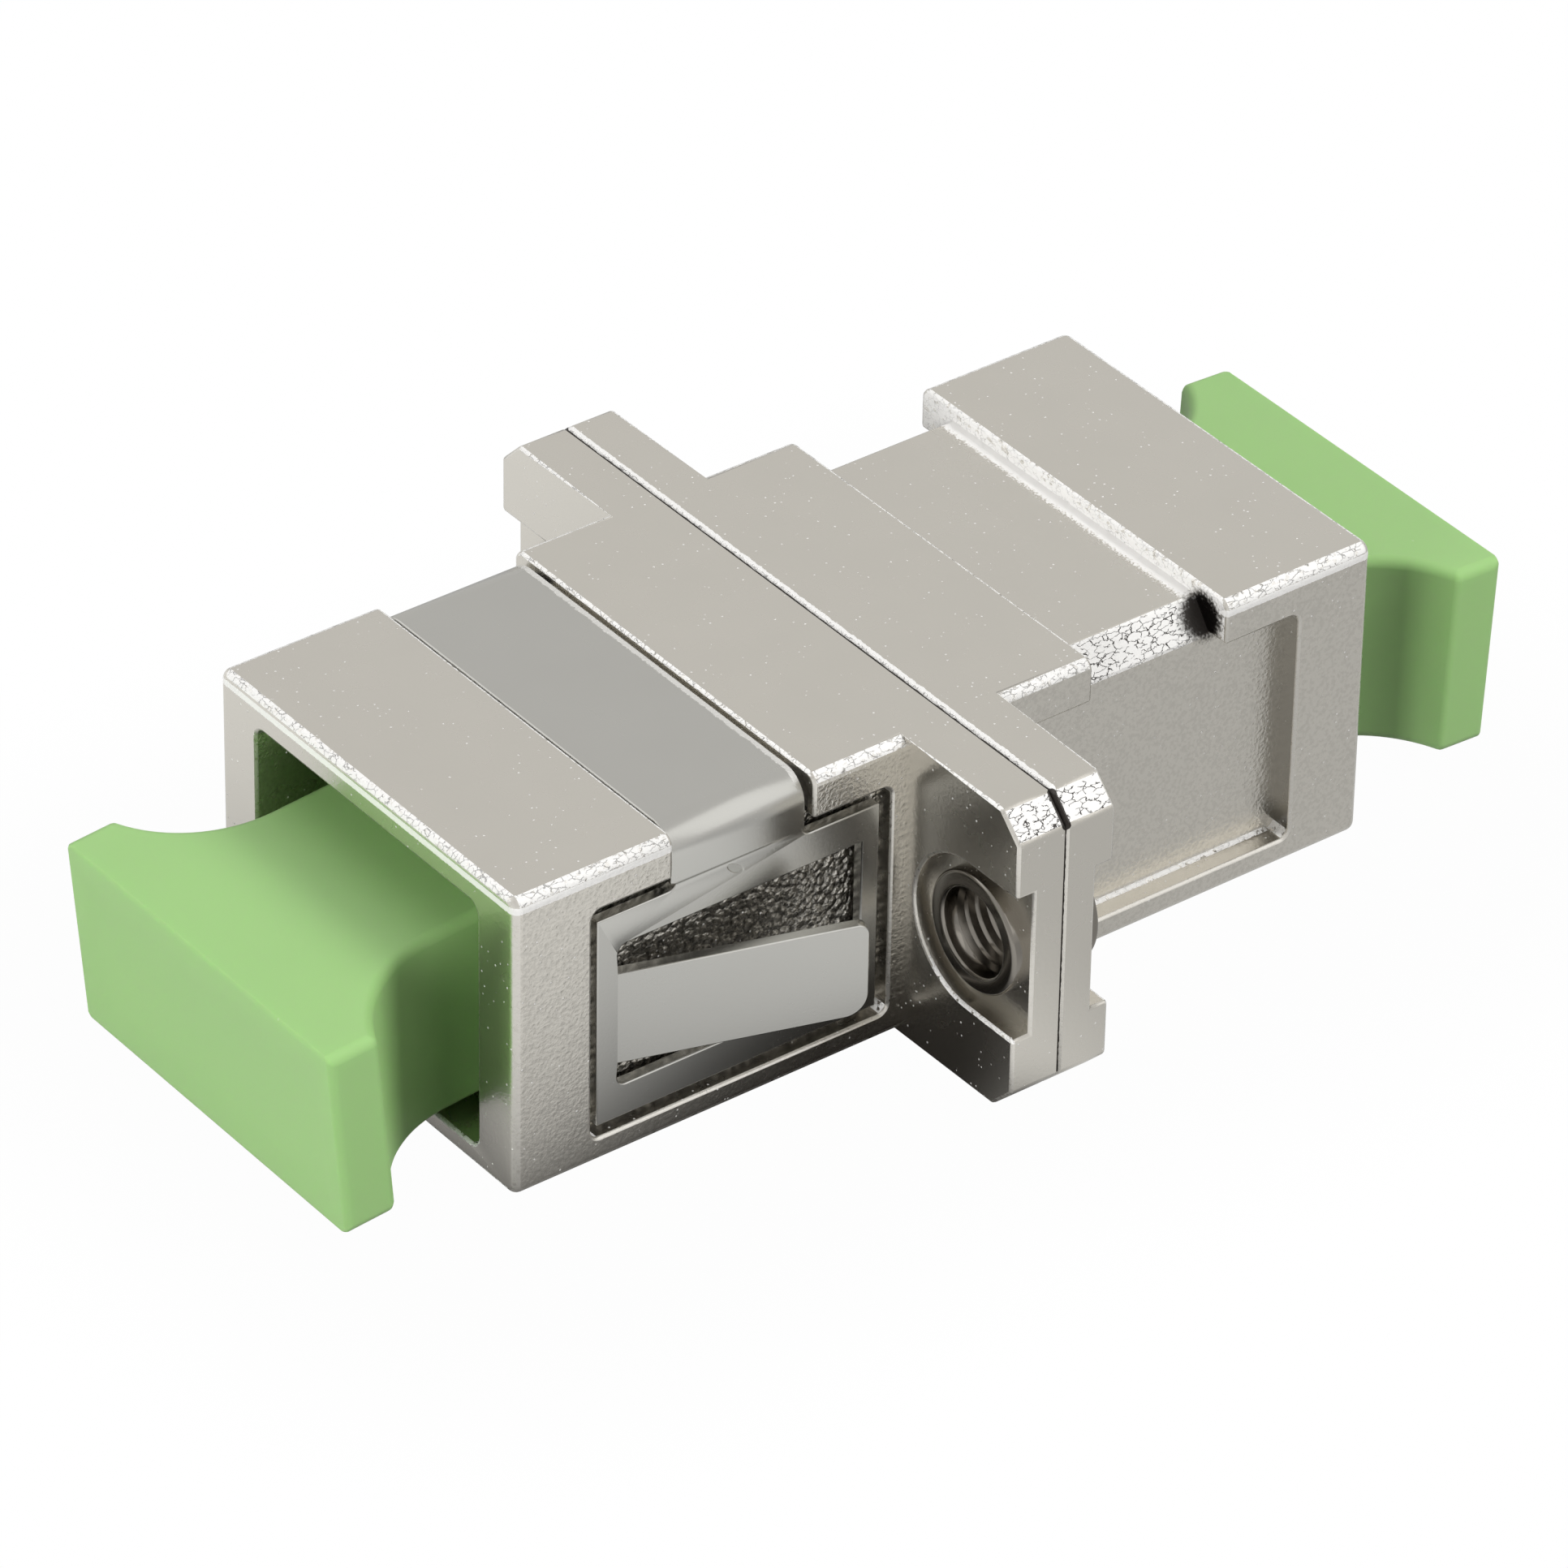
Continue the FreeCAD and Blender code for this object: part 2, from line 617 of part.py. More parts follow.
def soften_plug(body):
    """Round the plate's upright corners, then every edge of the top and the underside."""
    face, half = -number(body, "plug_reach"), number(body, "plug_height / 2")
    soften(body, "Fillet", "plate_corners", "plate_corner_radius",
           lambda edge: abs(edge.CenterOfMass.y - face) < NEAR and abs(edge.CenterOfMass.z) < NEAR)
    soften(body, "Fillet", "long_edges", "plug_edge_radius",
           lambda edge: lies_at(edge, "Z", half) or lies_at(edge, "Z", -half))


def check(doc, bodies):
    """Stop before anything is written if an object failed or a shape is not sound."""
    doc.recompute()
    for thing in doc.Objects:
        if "Invalid" in thing.State or "Error" in thing.State:
            raise RuntimeError(f"{thing.Label} failed: {thing.State}")
    for body in bodies:
        shape = body.Shape
        if shape.isNull() or not shape.isValid() or len(shape.Solids) != 1:
            raise RuntimeError(f"{body.Label} is not one sound solid")


def main():
    doc = FreeCAD.newDocument("fibre_optic_coupler")
    build_sheet(doc)
    bodies = [
        housing(doc, "front"),
        housing(doc, "rear"),
        panel_clip(doc),
        eyelet(doc, "left_eyelet", "-"),
        eyelet(doc, "right_eyelet", ""),
        sleeve_holder(doc, "front"),
        sleeve_holder(doc, "rear"),
        split_sleeve(doc),
        dust_plug(doc, "front"),
        dust_plug(doc, "rear"),
    ]
    check(doc, bodies)
    os.makedirs("parts", exist_ok=True)
    for body in bodies:
        body.Shape.exportStep(f"parts/{body.Label}.step")


main()
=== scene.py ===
"""Fibre optic coupler: two cast halves, a panel clip, eyelets, inner holders and two dust plugs.

The packed solids give every piece its place and size. Each piece here is a finished version of
one solid: its edges are rounded as wear leaves them, its faces are marked by how they were made
and by where painted highlights and painted shade go, and it gets a material for its metal,
plastic or ceramic.
"""

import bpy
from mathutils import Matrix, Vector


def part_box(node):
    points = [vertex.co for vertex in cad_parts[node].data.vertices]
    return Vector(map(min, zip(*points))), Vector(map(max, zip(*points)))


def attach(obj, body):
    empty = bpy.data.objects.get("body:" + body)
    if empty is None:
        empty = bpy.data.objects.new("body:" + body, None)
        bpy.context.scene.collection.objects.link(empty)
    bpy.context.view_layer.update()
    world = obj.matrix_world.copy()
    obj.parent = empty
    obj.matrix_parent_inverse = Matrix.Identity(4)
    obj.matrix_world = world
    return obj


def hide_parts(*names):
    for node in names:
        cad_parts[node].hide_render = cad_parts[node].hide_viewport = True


bl_info = {
    "name": "Fibre optic coupler",
    "version": (1, 0, 0),
    "blender": (4, 5, 0),
    "location": "3D View > Sidebar > Coupler",
    "description": "Finishes the pieces of a fibre optic coupler and sets up its studio",
    "category": "Object",
}

import math

import bmesh
import bpy
from bpy.props import FloatProperty, FloatVectorProperty, PointerProperty
from mathutils import Matrix, Vector

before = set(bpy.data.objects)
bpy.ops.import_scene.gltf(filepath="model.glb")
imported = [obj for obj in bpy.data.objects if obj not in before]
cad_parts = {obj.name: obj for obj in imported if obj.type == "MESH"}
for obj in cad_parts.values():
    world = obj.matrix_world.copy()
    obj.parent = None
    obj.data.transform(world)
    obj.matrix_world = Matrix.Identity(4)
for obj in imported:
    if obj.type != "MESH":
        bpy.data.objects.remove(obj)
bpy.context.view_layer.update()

MM = 0.001
WELD = 1e-7
SLIVER = 1e-6
FLAT_ANGLE = math.radians(0.6)
SOFT_ANGLE = math.radians(28)

# Places on the cast halves: sideways and along from the middle of the seam, and upwards
RECESS_SIDE, BODY_SIDE = 5.8 * MM, 6.5 * MM
STEP_ALONG, STEP_FOOT = 8.92 * MM, 8.80 * MM
LEDGE_FOOT, LEDGE_TOP = 0.8 * MM, 1.09 * MM
# Half the width and half the length of the body and of the flange, in millimetres
BODY_HALF, FLANGE_HALF = (6.45, 13.8), (11.075, 1.55)
# What the faces of the cast halves carry for their material: grain, wear and cracks with painted
# highlight, and painted shade
CAST_MARKS = ("grain", "wear_and_highlight", "cracks_and_highlight", "painted_shade")


def size(name, description, default, low=0.0):
    """A length of the object, in metres."""
    return FloatProperty(name=name, description=description, default=default, min=low,
                         unit="LENGTH", precision=5)


def colour(name, description, default):
    """A colour, linear."""
    return FloatVectorProperty(name=name, description=description, default=default, size=3,
                               min=0.0, max=1.0, subtype="COLOR")


def share(name, description, default, high=1.0):
    """A plain number from 0."""
    return FloatProperty(name=name, description=description, default=default, min=0.0, max=high)


def turn(name, description, degrees):
    """An angle."""
    return FloatProperty(name=name, description=description, default=math.radians(degrees),
                         unit="ROTATION")


class CastFinish(bpy.types.PropertyGroup):
    """The two cast halves."""
    edge_round: size("Edge round", "Radius that the outer edges are worn to", 0.085 * MM)
    corner_round: size("Corner round", "Radius of the soft corners in the recesses", 0.18 * MM)
    metal: colour("Metal", "Colour of the plated casting", (0.745, 0.718, 0.66))
    # Wear and painted highlight: this near-white colours the rounded edges, the chamfers, the
    # glints, the step and the seam's border so that they look lit.
    wear_and_highlight: colour("Worn metal", "Colour where the plate is rubbed bright", (0.97, 0.96, 0.94))
    # Also the colour of the seam's line and of the painted shade in the corner by the rear step.
    crack_and_shade: colour("Crack", "Colour in the cracks of the ragged chamfers", (0.045, 0.040, 0.036))
    roughness: share("Roughness", "Roughness of the plain faces", 0.27)


class ClipFinish(bpy.types.PropertyGroup):
    """The spring clip."""
    edge_round: size("Edge round", "Radius of the sheet's edges", 0.04 * MM)
    steel: colour("Steel", "Colour of the rolled sheet", (0.60, 0.595, 0.565))
    stain: colour("Stain", "Colour of the small dented mark", (0.45, 0.45, 0.41))
    burr: colour("Burr", "Colour of the sheared edge along the neck", (0.72, 0.71, 0.68))
    roughness: share("Roughness", "Roughness across the rolled sheet", 0.25)


class EyeletFinish(bpy.types.PropertyGroup):
    """The two hollow rivets."""
    roll: size("Roll", "Radius of the rolled rim's edges", 0.12 * MM)
    # Painted shade: the eyelets' metal is made this dark to stand in for the shade and dark
    # reflections they sit in.
    metal: colour("Metal", "Colour of the plated brass", (0.30, 0.28, 0.25))
    roughness: share("Roughness", "Roughness of the polished rim", 0.16)


class InsideFinish(bpy.types.PropertyGroup):
    """The moulded holders and the ceramic sleeve."""
    edge_round: size("Edge round", "Radius of the moulded edges", 0.05 * MM)
    plastic: colour("Plastic", "Colour of the holders", (0.022, 0.024, 0.024))
    ceramic: colour("Ceramic", "Colour of the sleeve", (0.80, 0.80, 0.76))


class PlugFinish(bpy.types.PropertyGroup):
    """The two dust plugs, measured along their own axis from the barrel's tip."""
    width: size("Width", "Width of the block over the barrel", 7.0 * MM)
    height: size("Height", "Height of the block and the plate", 5.7 * MM)
    entry: size("Entry", "How far the block reaches over the barrel", 2.2 * MM)
    reach: size("Reach", "From the barrel's tip to the plate's outer face", 11.83 * MM)
    plate_width: size("Plate width", "Width of the plate that is pulled", 11.7 * MM)
    plate_thickness: size("Plate thickness", "Thickness of the plate at its ends", 1.5 * MM)
    scoop: size("Scoop", "Radius of the hollow between block and plate", 3.5 * MM)
    bore: size("Bore", "Width of the bore over the barrel", 4.92 * MM)
    bore_depth: size("Bore depth", "Depth of the bore", 7.0 * MM)
    soft_edge: size("Soft edge", "Radius of the moulded edges", 0.6 * MM)
    green: colour("Green", "Colour of the soft plastic", (0.355, 0.615, 0.222))
    roughness: share("Roughness", "Roughness of the soft plastic", 0.52)


class StudioSetup(bpy.types.PropertyGroup):
    """The camera, the lamps, the floor and the background."""
    azimuth: turn("Azimuth", "Camera's direction round the object", 52.312)
    elevation: turn("Elevation", "Camera's height above the horizon", 34.804)
    roll: turn("Roll", "Camera's turn about its line of sight", 1.017)
    distance: size("Distance", "From the camera to the point it looks at", 263.4 * MM)
    across: size("Across", "Point looked at, to the right of the middle", -0.391 * MM, -1.0)
    above: size("Above", "Point looked at, above the middle", -0.799 * MM, -1.0)
    middle: size("Middle", "Height of the object's middle", 4.5 * MM)
    focal: FloatProperty(name="Focal length", description="Focal length of the camera",
                         default=231.88, unit="CAMERA")
    fill: share("Fill", "Strength of the plain light from all round", 0.09, 10.0)
    walls: share("Walls", "Strength of the studio's walls as metal mirrors them", 0.70, 10.0)
    floor: colour("Floor", "Colour of the floor", (0.22, 0.22, 0.215))
    floor_half: size("Floor half width", "Half the width of the floor", 1.5)
    whiteness: share("Whiteness", "How far the floor is white in the picture, near by", 0.98)
    mirrored: share("Mirrored", "How far the floor is plain in the metal's reflections", 0.92)
    # Painted shadow on the floor, seen only in what metal mirrors: the near floor's dark, the nook
    # and behind.
    near: colour("Near floor", "What metal mirrors at the object's foot", (0.02, 0.018, 0.016))
    far: colour("Far floor", "What metal mirrors further out", (0.95, 0.95, 0.94))
    near_width: size("Near width", "How far out two thirds of the near floor's dark fades",
                     4.6 * MM)
    nook: size("Nook", "How far out the dark corners before the ears reach", 9.0 * MM)
    behind: share("Behind", "How much darker the mirrored floor is behind the ears", 0.38)
    white_from: size("White from", "How far out the floor is all white in the picture", 14 * MM)


class Wire:
    """A socket of a material, with arithmetic that adds the nodes for it."""

    def __init__(self, finish, socket):
        self.finish = finish
        self.socket = socket

    def math(self, operation, *values, clamp=False):
        """The result of one Math node whose first value is this wire."""
        settings = {"operation": operation, "use_clamp": clamp}
        return self.finish.add("Math", settings, dict(enumerate((self, *values)))).out(0)

    def __add__(self, other):
        return self.math("ADD", other)

    def __radd__(self, other):
        return self.math("ADD", other)

    def __sub__(self, other):
        return self.math("SUBTRACT", other)

    def __rsub__(self, other):
        return (self * -1.0).math("ADD", other)

    def __mul__(self, other):
        return self.math("MULTIPLY", other)

    def __rmul__(self, other):
        return self.math("MULTIPLY", other)

    def highest(self, *others):
        """The highest of this wire and the others."""
        top = self
        for other in others:
            top = top.math("MAXIMUM", other)
        return top

    def ramp(self, low, high):
        """Smoothly from 0 at low to 1 at high, which may be the lower number."""
        settings = {"interpolation_type": "SMOOTHSTEP"}
        return self.finish.add("MapRange", settings, {
            "Value": self, "From Min": low, "From Max": high}).out("Result")


class NodeBox:
    """One node of a material, for reading its outputs."""

    def __init__(self, finish, node):
        self.finish = finish
        self.node = node

    def out(self, key=0):
        return Wire(self.finish, self.node.outputs[key])


class Finish:
    """A material being made: its nodes, its shader and places in millimetres."""

    def __init__(self, name, metallic=0.0):
        self.material = bpy.data.materials.new(name)
        self.material.use_nodes = True
        self.tree = self.material.node_tree
        self.tree.nodes.clear()
        self.shader = self.add("BsdfPrincipled", {}, {"Metallic": metallic})
        self.output = self.add("OutputMaterial", {}, {"Surface": self.shader.out("BSDF")})
        self.place = self.scaled((1 / MM,) * 3)

    def add(self, kind, settings, values):
        """Add a node of this kind, set it up, then give its sockets values or wires."""
        node = self.tree.nodes.new("ShaderNode" + kind)
        for name, value in settings.items():
            setattr(node, name, value)
        for key, value in values.items():
            self.feed(node.inputs[key], value)
        return NodeBox(self, node)

    def feed(self, socket, value):
        if isinstance(value, Wire):
            self.tree.links.new(value.socket, socket)
        elif socket.type == "RGBA" and len(value) == 3:
            socket.default_value = (*value, 1.0)
        else:
            socket.default_value = value

    def set(self, **values):
        """Give sockets of the shader values or wires, spaces written as underscores."""
        for name, value in values.items():
            self.feed(self.shader.node.inputs[name.replace("_", " ")], value)

    def scaled(self, scale):
        """The object's own coordinates, stretched, as a wire."""
        inside = self.add("TexCoord", {}, {}).out("Object")
        return self.add("Mapping", {}, {"Vector": inside, "Scale": scale}).out()

    def axis(self, name):
        """One of the object's coordinates, in millimetres."""
        return self.add("SeparateXYZ", {}, {0: self.place}).out(name)

    def noise(self, grain, detail=2.0, place=None, seed=0.0):
        """Noise from 0 to 1 whose blotches are about this many millimetres wide."""
        return self.add("TexNoise", {"noise_dimensions": "4D"}, {
            "Vector": place or self.place, "Scale": 1.0 / grain, "Detail": detail,
            "W": seed}).out("Fac")

    def cells(self, width, feature="F1", place=None):
        """Distance to the middle, or to the border, of cells of this width in millimetres."""
        return self.add("TexVoronoi", {"feature": feature}, {
            "Vector": place or self.place, "Scale": 1.0 / width}).out("Distance")

    def face_mark(self, name):
        """A number that the piece's faces carry."""
        return self.add("Attribute", {"attribute_name": name}, {}).out("Fac")

    def mix(self, factor, first, second):
        """From one colour to another."""
        return self.add("Mix", {"data_type": "RGBA"}, {
            0: factor, 6: first, 7: second}).out(2)

    def layered(self, shade, *layers):
        """A colour under layers, each given by how far it covers and its own colour."""
        for cover, over in layers:
            shade = self.mix(cover, shade, over)
        return shade

    def bump(self, height, depth, beneath=None):
        """A relief of this depth in millimetres, laid over another relief if there is one."""
        values = {"Height": height, "Distance": depth * MM}
        if beneath is not None:
            values["Normal"] = beneath
        return self.add("Bump", {}, values).out("Normal")

    def shaken(self, amount, grain):
        """The object's coordinates, shaken so that straight borders become ragged."""
        cloud = self.add("TexNoise", {}, {
            "Vector": self.place, "Scale": 1.0 / grain, "Detail": 2.0}).out("Color")
        push = self.add("VectorMath", {"operation": "SCALE"}, {0: cloud, "Scale": amount}).out()
        return self.add("VectorMath", {"operation": "ADD"}, {0: self.place, 1: push}).out()


def times(shade, strength):
    """A colour at this many times its strength."""
    return [c * strength for c in shade]


def cast_metal(settings):
    """Nickel-plated zinc: pebbled sides, rubbed edges, ragged chamfers, painted highlights, glints
    and shade.
    """
    pebble, lump, flake, gap, cloud = 0.11, 0.21, 0.15, 0.26, 1.6
    metal = settings.metal
    finish = Finish("cast_metal", 1.0)
    grain, wear_and_highlight, chamfer, painted_shade = (finish.face_mark(name) for name in CAST_MARKS)
    pebbles = finish.noise(pebble, 3.0, seed=1.0)
    lumps = finish.cells(lump, place=finish.shaken(0.12, 0.2))
    sunk = grain.ramp(1.4, 1.8)
    cloudy = finish.noise(cloud, 3.0)
    # Painted shade in the corner by the rear step.
    corner_shade = painted_corner_shade(finish)

    # Wear and painted highlight: white flakes along the rounded edges stand in for their
    # highlights.
    flakes_and_highlight = finish.noise(flake, 3.0, seed=3.0).ramp(0.39, 0.43) * wear_and_highlight.ramp(0.0, 0.5)
    # Painted glints: tiny white specks on the faces.
    painted_glints = finish.cells(gap).ramp(0.13, 0.08) * finish.noise(0.9, seed=7.0).ramp(0.42, 0.55)
    # Bright layer: wear and painted highlight, painted glints, dust and painted highlight at the
    # step, painted highlight at the seam.
    bright = (flakes_and_highlight + dust_and_highlight_at_step(finish) + painted_seam_highlight(finish)).math("MINIMUM", 1.0)
    bright = bright.highest(painted_glints * 0.8) * (1.0 - corner_shade)
    # Dark layer: cracks, the seam's line, and painted shade in the corner by the rear step.
    dark = (cracks(finish) * chamfer.highest(wear_and_highlight * 0.55)).highest(corner_shade, seam_line(finish))

    # Painted shade in the hollows of the pebbling on the sides, strongest in the clip's sunk
    # recess.
    painted_pit_shade = pebbles.ramp(0.56, 0.40) * grain.ramp(0.4, 1.0)
    hollow = pebbles.ramp(0.54, 0.42) * grain.ramp(1.0, 1.8) + lumps.ramp(0.38, 0.6) * sunk
    # Painted shade on the rear recesses' end walls, darker towards the bottom.
    end_wall_shade = painted_shade * (finish.axis("Z").ramp(1.9, 1.1) * 0.45 + 0.5)
    finish.set(Base_Color=finish.layered(
        finish.mix(cloudy, times(metal, 0.95), metal),
        (painted_pit_shade * 0.24, times(metal, 0.6)),
        (hollow * 0.5, times(metal, 0.35)),
        (end_wall_shade, times(metal, 0.2)),
        # Wear and painted highlight: edges, chamfers, glints and the step's dust turn near-white.
        (bright.highest(chamfer, wear_and_highlight * 0.6), settings.wear_and_highlight),
        (dark, settings.crack_and_shade)))
    # Painted highlight: the white edges, chamfers and glints turn partly diffuse so they look
    # bright from every side.
    finish.set(Metallic=1.0 - (bright * 0.8).highest(chamfer * 0.75))
    finish.set(Roughness=cloudy * 0.06 + (settings.roughness - 0.03) + bright * 0.15
               + chamfer * 0.1)

    relief = finish.bump(pebbles * grain - lumps * sunk * 3.0, 0.024)
    rough = finish.noise(0.07, 2.0, seed=5.0) * (wear_and_highlight * 0.6 + chamfer * 0.25)
    relief = finish.bump(rough, 0.022, relief)
    finish.set(Normal=finish.bump(painted_glints * 0.4 - dark, 0.012, relief))
    return finish.material


def cracks(finish):
    """Short broken dark lines between flattened lumps, for the ragged chamfers."""
    lump = 0.20
    ragged = finish.shaken(0.10, 0.10)
    flat = finish.add("Mapping", {}, {"Vector": ragged, "Scale": (1.0, 0.62, 1.5)}).out()
    line = finish.cells(lump, "DISTANCE_TO_EDGE", flat).ramp(0.048, 0.022)
    return line * finish.noise(lump, 1.0, seed=11.0).ramp(0.40, 0.50)


def painted_corner_shade(finish):
    """Painted shade: a soft dark patch in the corner where the rear half's slanted recess side
    meets the step.
    """
    middle, radius, shake = (5.54, 8.88, 8.36), 0.82, 0.5
    away = finish.add("VectorMath", {"operation": "DISTANCE"}, {
        0: finish.shaken(shake, 0.08), 1: [c + shake / 2 for c in middle]}).out("Value")
    return away.ramp(radius, radius * 0.55)


def dust_and_highlight_at_step(finish):
    """White over the recess's floor in front of its step and on the step's fillet: dust, with a
    painted highlight.
    """
    step, foot, reach, top = STEP_ALONG / MM, STEP_FOOT / MM, 0.80, 8.97
    height = finish.axis("Z")
    near = finish.axis("Y").math("ABSOLUTE").ramp(step - reach, step)
    near = near * height.ramp(foot - 0.1, foot - 0.01) * height.ramp(top, top - 0.06)
    return (near + finish.noise(0.06, 2.0, seed=9.0) - 1.0).ramp(-0.12, 0.12)


def painted_seam_highlight(finish):
    """Painted highlight: the ragged bright border of the seam on the upper faces, on the rear
    half's side.
    """
    width, top = 0.19, 9.05
    ragged = (finish.noise(0.12, 3.0, seed=15.0) - 0.5) * 0.12
    away = finish.axis("Y") + ragged
    band = away.ramp(width, width - 0.02) * away.ramp(0.0, 0.02)
    return band * finish.axis("Z").ramp(top, top + 0.03)


def seam_line(finish):
    """The fine dark line where the two halves meet, a wide groove between the ears' chamfers."""
    ear, height, groove = 10.35, 8.40, 0.11
    wander = finish.noise(0.25, 2.0, seed=13.0) * 0.05 - 0.025
    away = (finish.axis("Y") + wander).math("ABSOLUTE")
    at_chamfer = finish.axis("X").math("ABSOLUTE").ramp(ear - 0.1, ear + 0.05)
    at_chamfer = at_chamfer * finish.axis("Z").ramp(height - 0.1, height + 0.05)
    return (away - at_chamfer * groove).ramp(0.026, 0.014)


def clip_steel(settings):
    """Rolled spring sheet: faint lines along the rolling direction and one small mark."""
    finish = Finish("clip_steel", 1.0)
    lines = finish.noise(1.0, 3.0, finish.scaled((0.5 / MM, 14 / MM, 14 / MM)))
    cloudy = finish.noise(2.2, 2.0)
    mark = dent(finish)
    shade = finish.mix(cloudy, times(settings.steel, 0.95), settings.steel)
    shade = finish.mix(mark * 0.45, shade, settings.stain)
    burr = neck_burr(finish)
    finish.set(Base_Color=finish.mix(burr, shade, settings.burr), Metallic=1.0 - burr * 0.7)
    finish.set(Roughness=lines * 0.08 + cloudy * 0.05 + (settings.roughness - 0.06))
    relief = finish.bump(lines, 0.0016)
    relief = finish.bump(finish.noise(0.08, 2.0, seed=4.0) * burr, 0.03, relief)
    finish.set(Normal=finish.bump(mark, -0.01, relief))
    return finish.material


def neck_burr(finish):
    """The ragged light burr along the back edge of the clip's neck."""
    back, width, top = -4.65, 0.17, 9.05
    ragged = (finish.noise(0.12, 3.0, seed=2.0) - 0.5) * 0.16
    near = (finish.axis("Y") + ragged).ramp(back - width - 0.03, back - width + 0.01)
    return near * finish.axis("Z").ramp(top - 0.2, top)


def dent(finish):
    """An oval mark, slanted, on the clip's right side between the bend and the window."""
    middle, slant, half_long, half_wide = (6.3, -6.84, 7.28), -35.0, 0.34, 0.13
    local = finish.add("Mapping", {"vector_type": "TEXTURE"}, {
        "Vector": finish.place, "Location": middle,
        "Rotation": (math.radians(slant), 0.0, 0.0),
        "Scale": (half_long, half_long, half_wide)}).out()
    reach = finish.add("VectorMath", {"operation": "LENGTH"}, {0: local}).out("Value")
    return reach.ramp(1.0, 0.75)


def eyelet_metal(settings):
    """Plated brass, polished where the tool rolled it, with faint rings."""
    finish = Finish("eyelet_metal", 1.0)
    cloudy = finish.noise(0.7, 2.0)
    # Painted shade: the dark colour stands in for the shade and dark reflections the eyelets sit
    # in.
    finish.set(Base_Color=finish.mix(cloudy, times(settings.metal, 0.9), settings.metal))
    finish.set(Roughness=cloudy * 0.08 + (settings.roughness - 0.04))
    finish.set(Normal=finish.bump(finish.noise(0.3, 1.0), 0.002))
    return finish.material


def holder_plastic(settings):
    """Dark moulded plastic with a fine even grain."""
    finish = Finish("holder_plastic")
    cloudy = finish.noise(1.5, 2.0)
    finish.set(Base_Color=finish.mix(cloudy, times(settings.plastic, 1.5), settings.plastic))
    finish.set(Roughness=cloudy * 0.1 + 0.42)
    finish.set(Normal=finish.bump(finish.noise(0.08, 2.0), 0.003))
    return finish.material


def sleeve_ceramic(settings):
    """Polished white ceramic, faintly clouded."""
    finish = Finish("sleeve_ceramic")
    cloudy = finish.noise(1.2, 3.0)
    finish.set(Base_Color=finish.mix(cloudy, times(settings.ceramic, 0.93), settings.ceramic))
    finish.set(Roughness=cloudy * 0.05 + 0.12)
    return finish.material


def plug_soft(settings):
    """Soft green plastic: even, matte, a little cloudy, with a very fine skin."""
    finish = Finish("plug_soft")
    cloudy = finish.noise(3.0, 2.0)
    shade = finish.mix(cloudy, times(settings.green, 0.95), settings.green)
    dust = finish.cells(1.7).ramp(0.03, 0.015)
    finish.set(Base_Color=finish.mix(dust * 0.25, shade, (0.75, 0.82, 0.66)))
    finish.set(Roughness=cloudy * 0.08 + (settings.roughness - 0.04))
    finish.set(Normal=finish.bump(finish.noise(0.10, 2.0), 0.0012))
    finish.set(Specular_IOR_Level=1.0, Subsurface_Weight=0.25, Subsurface_Radius=(0.5, 1.0, 0.35),
               Subsurface_Scale=0.8 * MM)
    return finish.material


def merged(node):
    """A copy of a solid's mesh, its loose triangles joined into whole faces."""
    bm = bmesh.new()
    bm.from_mesh(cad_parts[node].data)
    bmesh.ops.remove_doubles(bm, verts=bm.verts, dist=WELD)
    bmesh.ops.dissolve_limit(bm, angle_limit=FLAT_ANGLE, verts=bm.verts, edges=bm.edges)
    return bm


def is_sharp(edge):
    return len(edge.link_faces) == 2 and edge.calc_face_angle() > SOFT_ANGLE


def soft_share(face):
    """The share of a face's outline that runs on smoothly into its neighbours."""
    lengths = [(edge.calc_length(), is_sharp(edge)) for edge in face.edges]
    return sum(length for length, sharp in lengths if not sharp) / sum(l for l, _ in lengths)


def shade_curves(bm):
    """Smooth shading on the strips of curved faces only, so flat faces stay true."""
    strip = 0.6
    for face in bm.faces:
        face.smooth = soft_share(face) > strip


def round_edges(bm, edges, radius, segments):
    """Bevel these edges round, with smooth shading on what that makes."""
    made = bmesh.ops.bevel(bm, geom=edges, offset=radius, offset_type="OFFSET", segments=segments,
                           affect="EDGES", profile=0.5, material=-1, clamp_overlap=False)
    for face in made["faces"]:
        face.smooth = True


def wear_edges(bm, radius, seam=0.0):
    """Round the outer edges, apart from those that lie this near to the seam at y = 0."""
    edges = [edge for edge in bm.edges if is_sharp(edge) and edge.is_convex
             and max(abs(vert.co.y) for vert in edge.verts) > seam]
    round_edges(bm, edges, radius, segments=2)


def publish(bm, name, body, nodes, material):
    """Turn a finished bmesh into a piece that stands for its solids and rides on its body."""
    mesh = bpy.data.meshes.new(name)
    bm.to_mesh(mesh)
    bm.free()
    mesh.materials.append(material)
    piece = bpy.data.objects.new(name, mesh)
    bpy.context.scene.collection.objects.link(piece)
    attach(piece, body)
    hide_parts(*nodes)
    return piece


def round_recess_corners(bm, radius):
    """Fillet the foot of each recess's step and the lower ledge of each rear side recess."""
    near = 0.01 * MM

    def lies_along(edge, across, level):
        return all(across(vert.co) < near and abs(vert.co.z - level) < near
                   for vert in edge.verts)

    def inner(edge):
        at_step = lies_along(edge, lambda p: abs(abs(p.y) - STEP_ALONG), STEP_FOOT)
        at_ledge = lies_along(edge, lambda p: abs(abs(p.x) - RECESS_SIDE), LEDGE_FOOT)
        return at_step or (at_ledge and min(vert.co.y for vert in edge.verts) > 0)

    edges = [edge for edge in bm.edges if is_sharp(edge) and not edge.is_convex and inner(edge)]
    round_edges(bm, edges, radius, segments=4)
    bmesh.ops.dissolve_degenerate(bm, dist=SLIVER, edges=bm.edges)


def faces_along(component):
    """Whether a face looks along an axis, from that part of its normal."""
    return abs(component) > 0.95


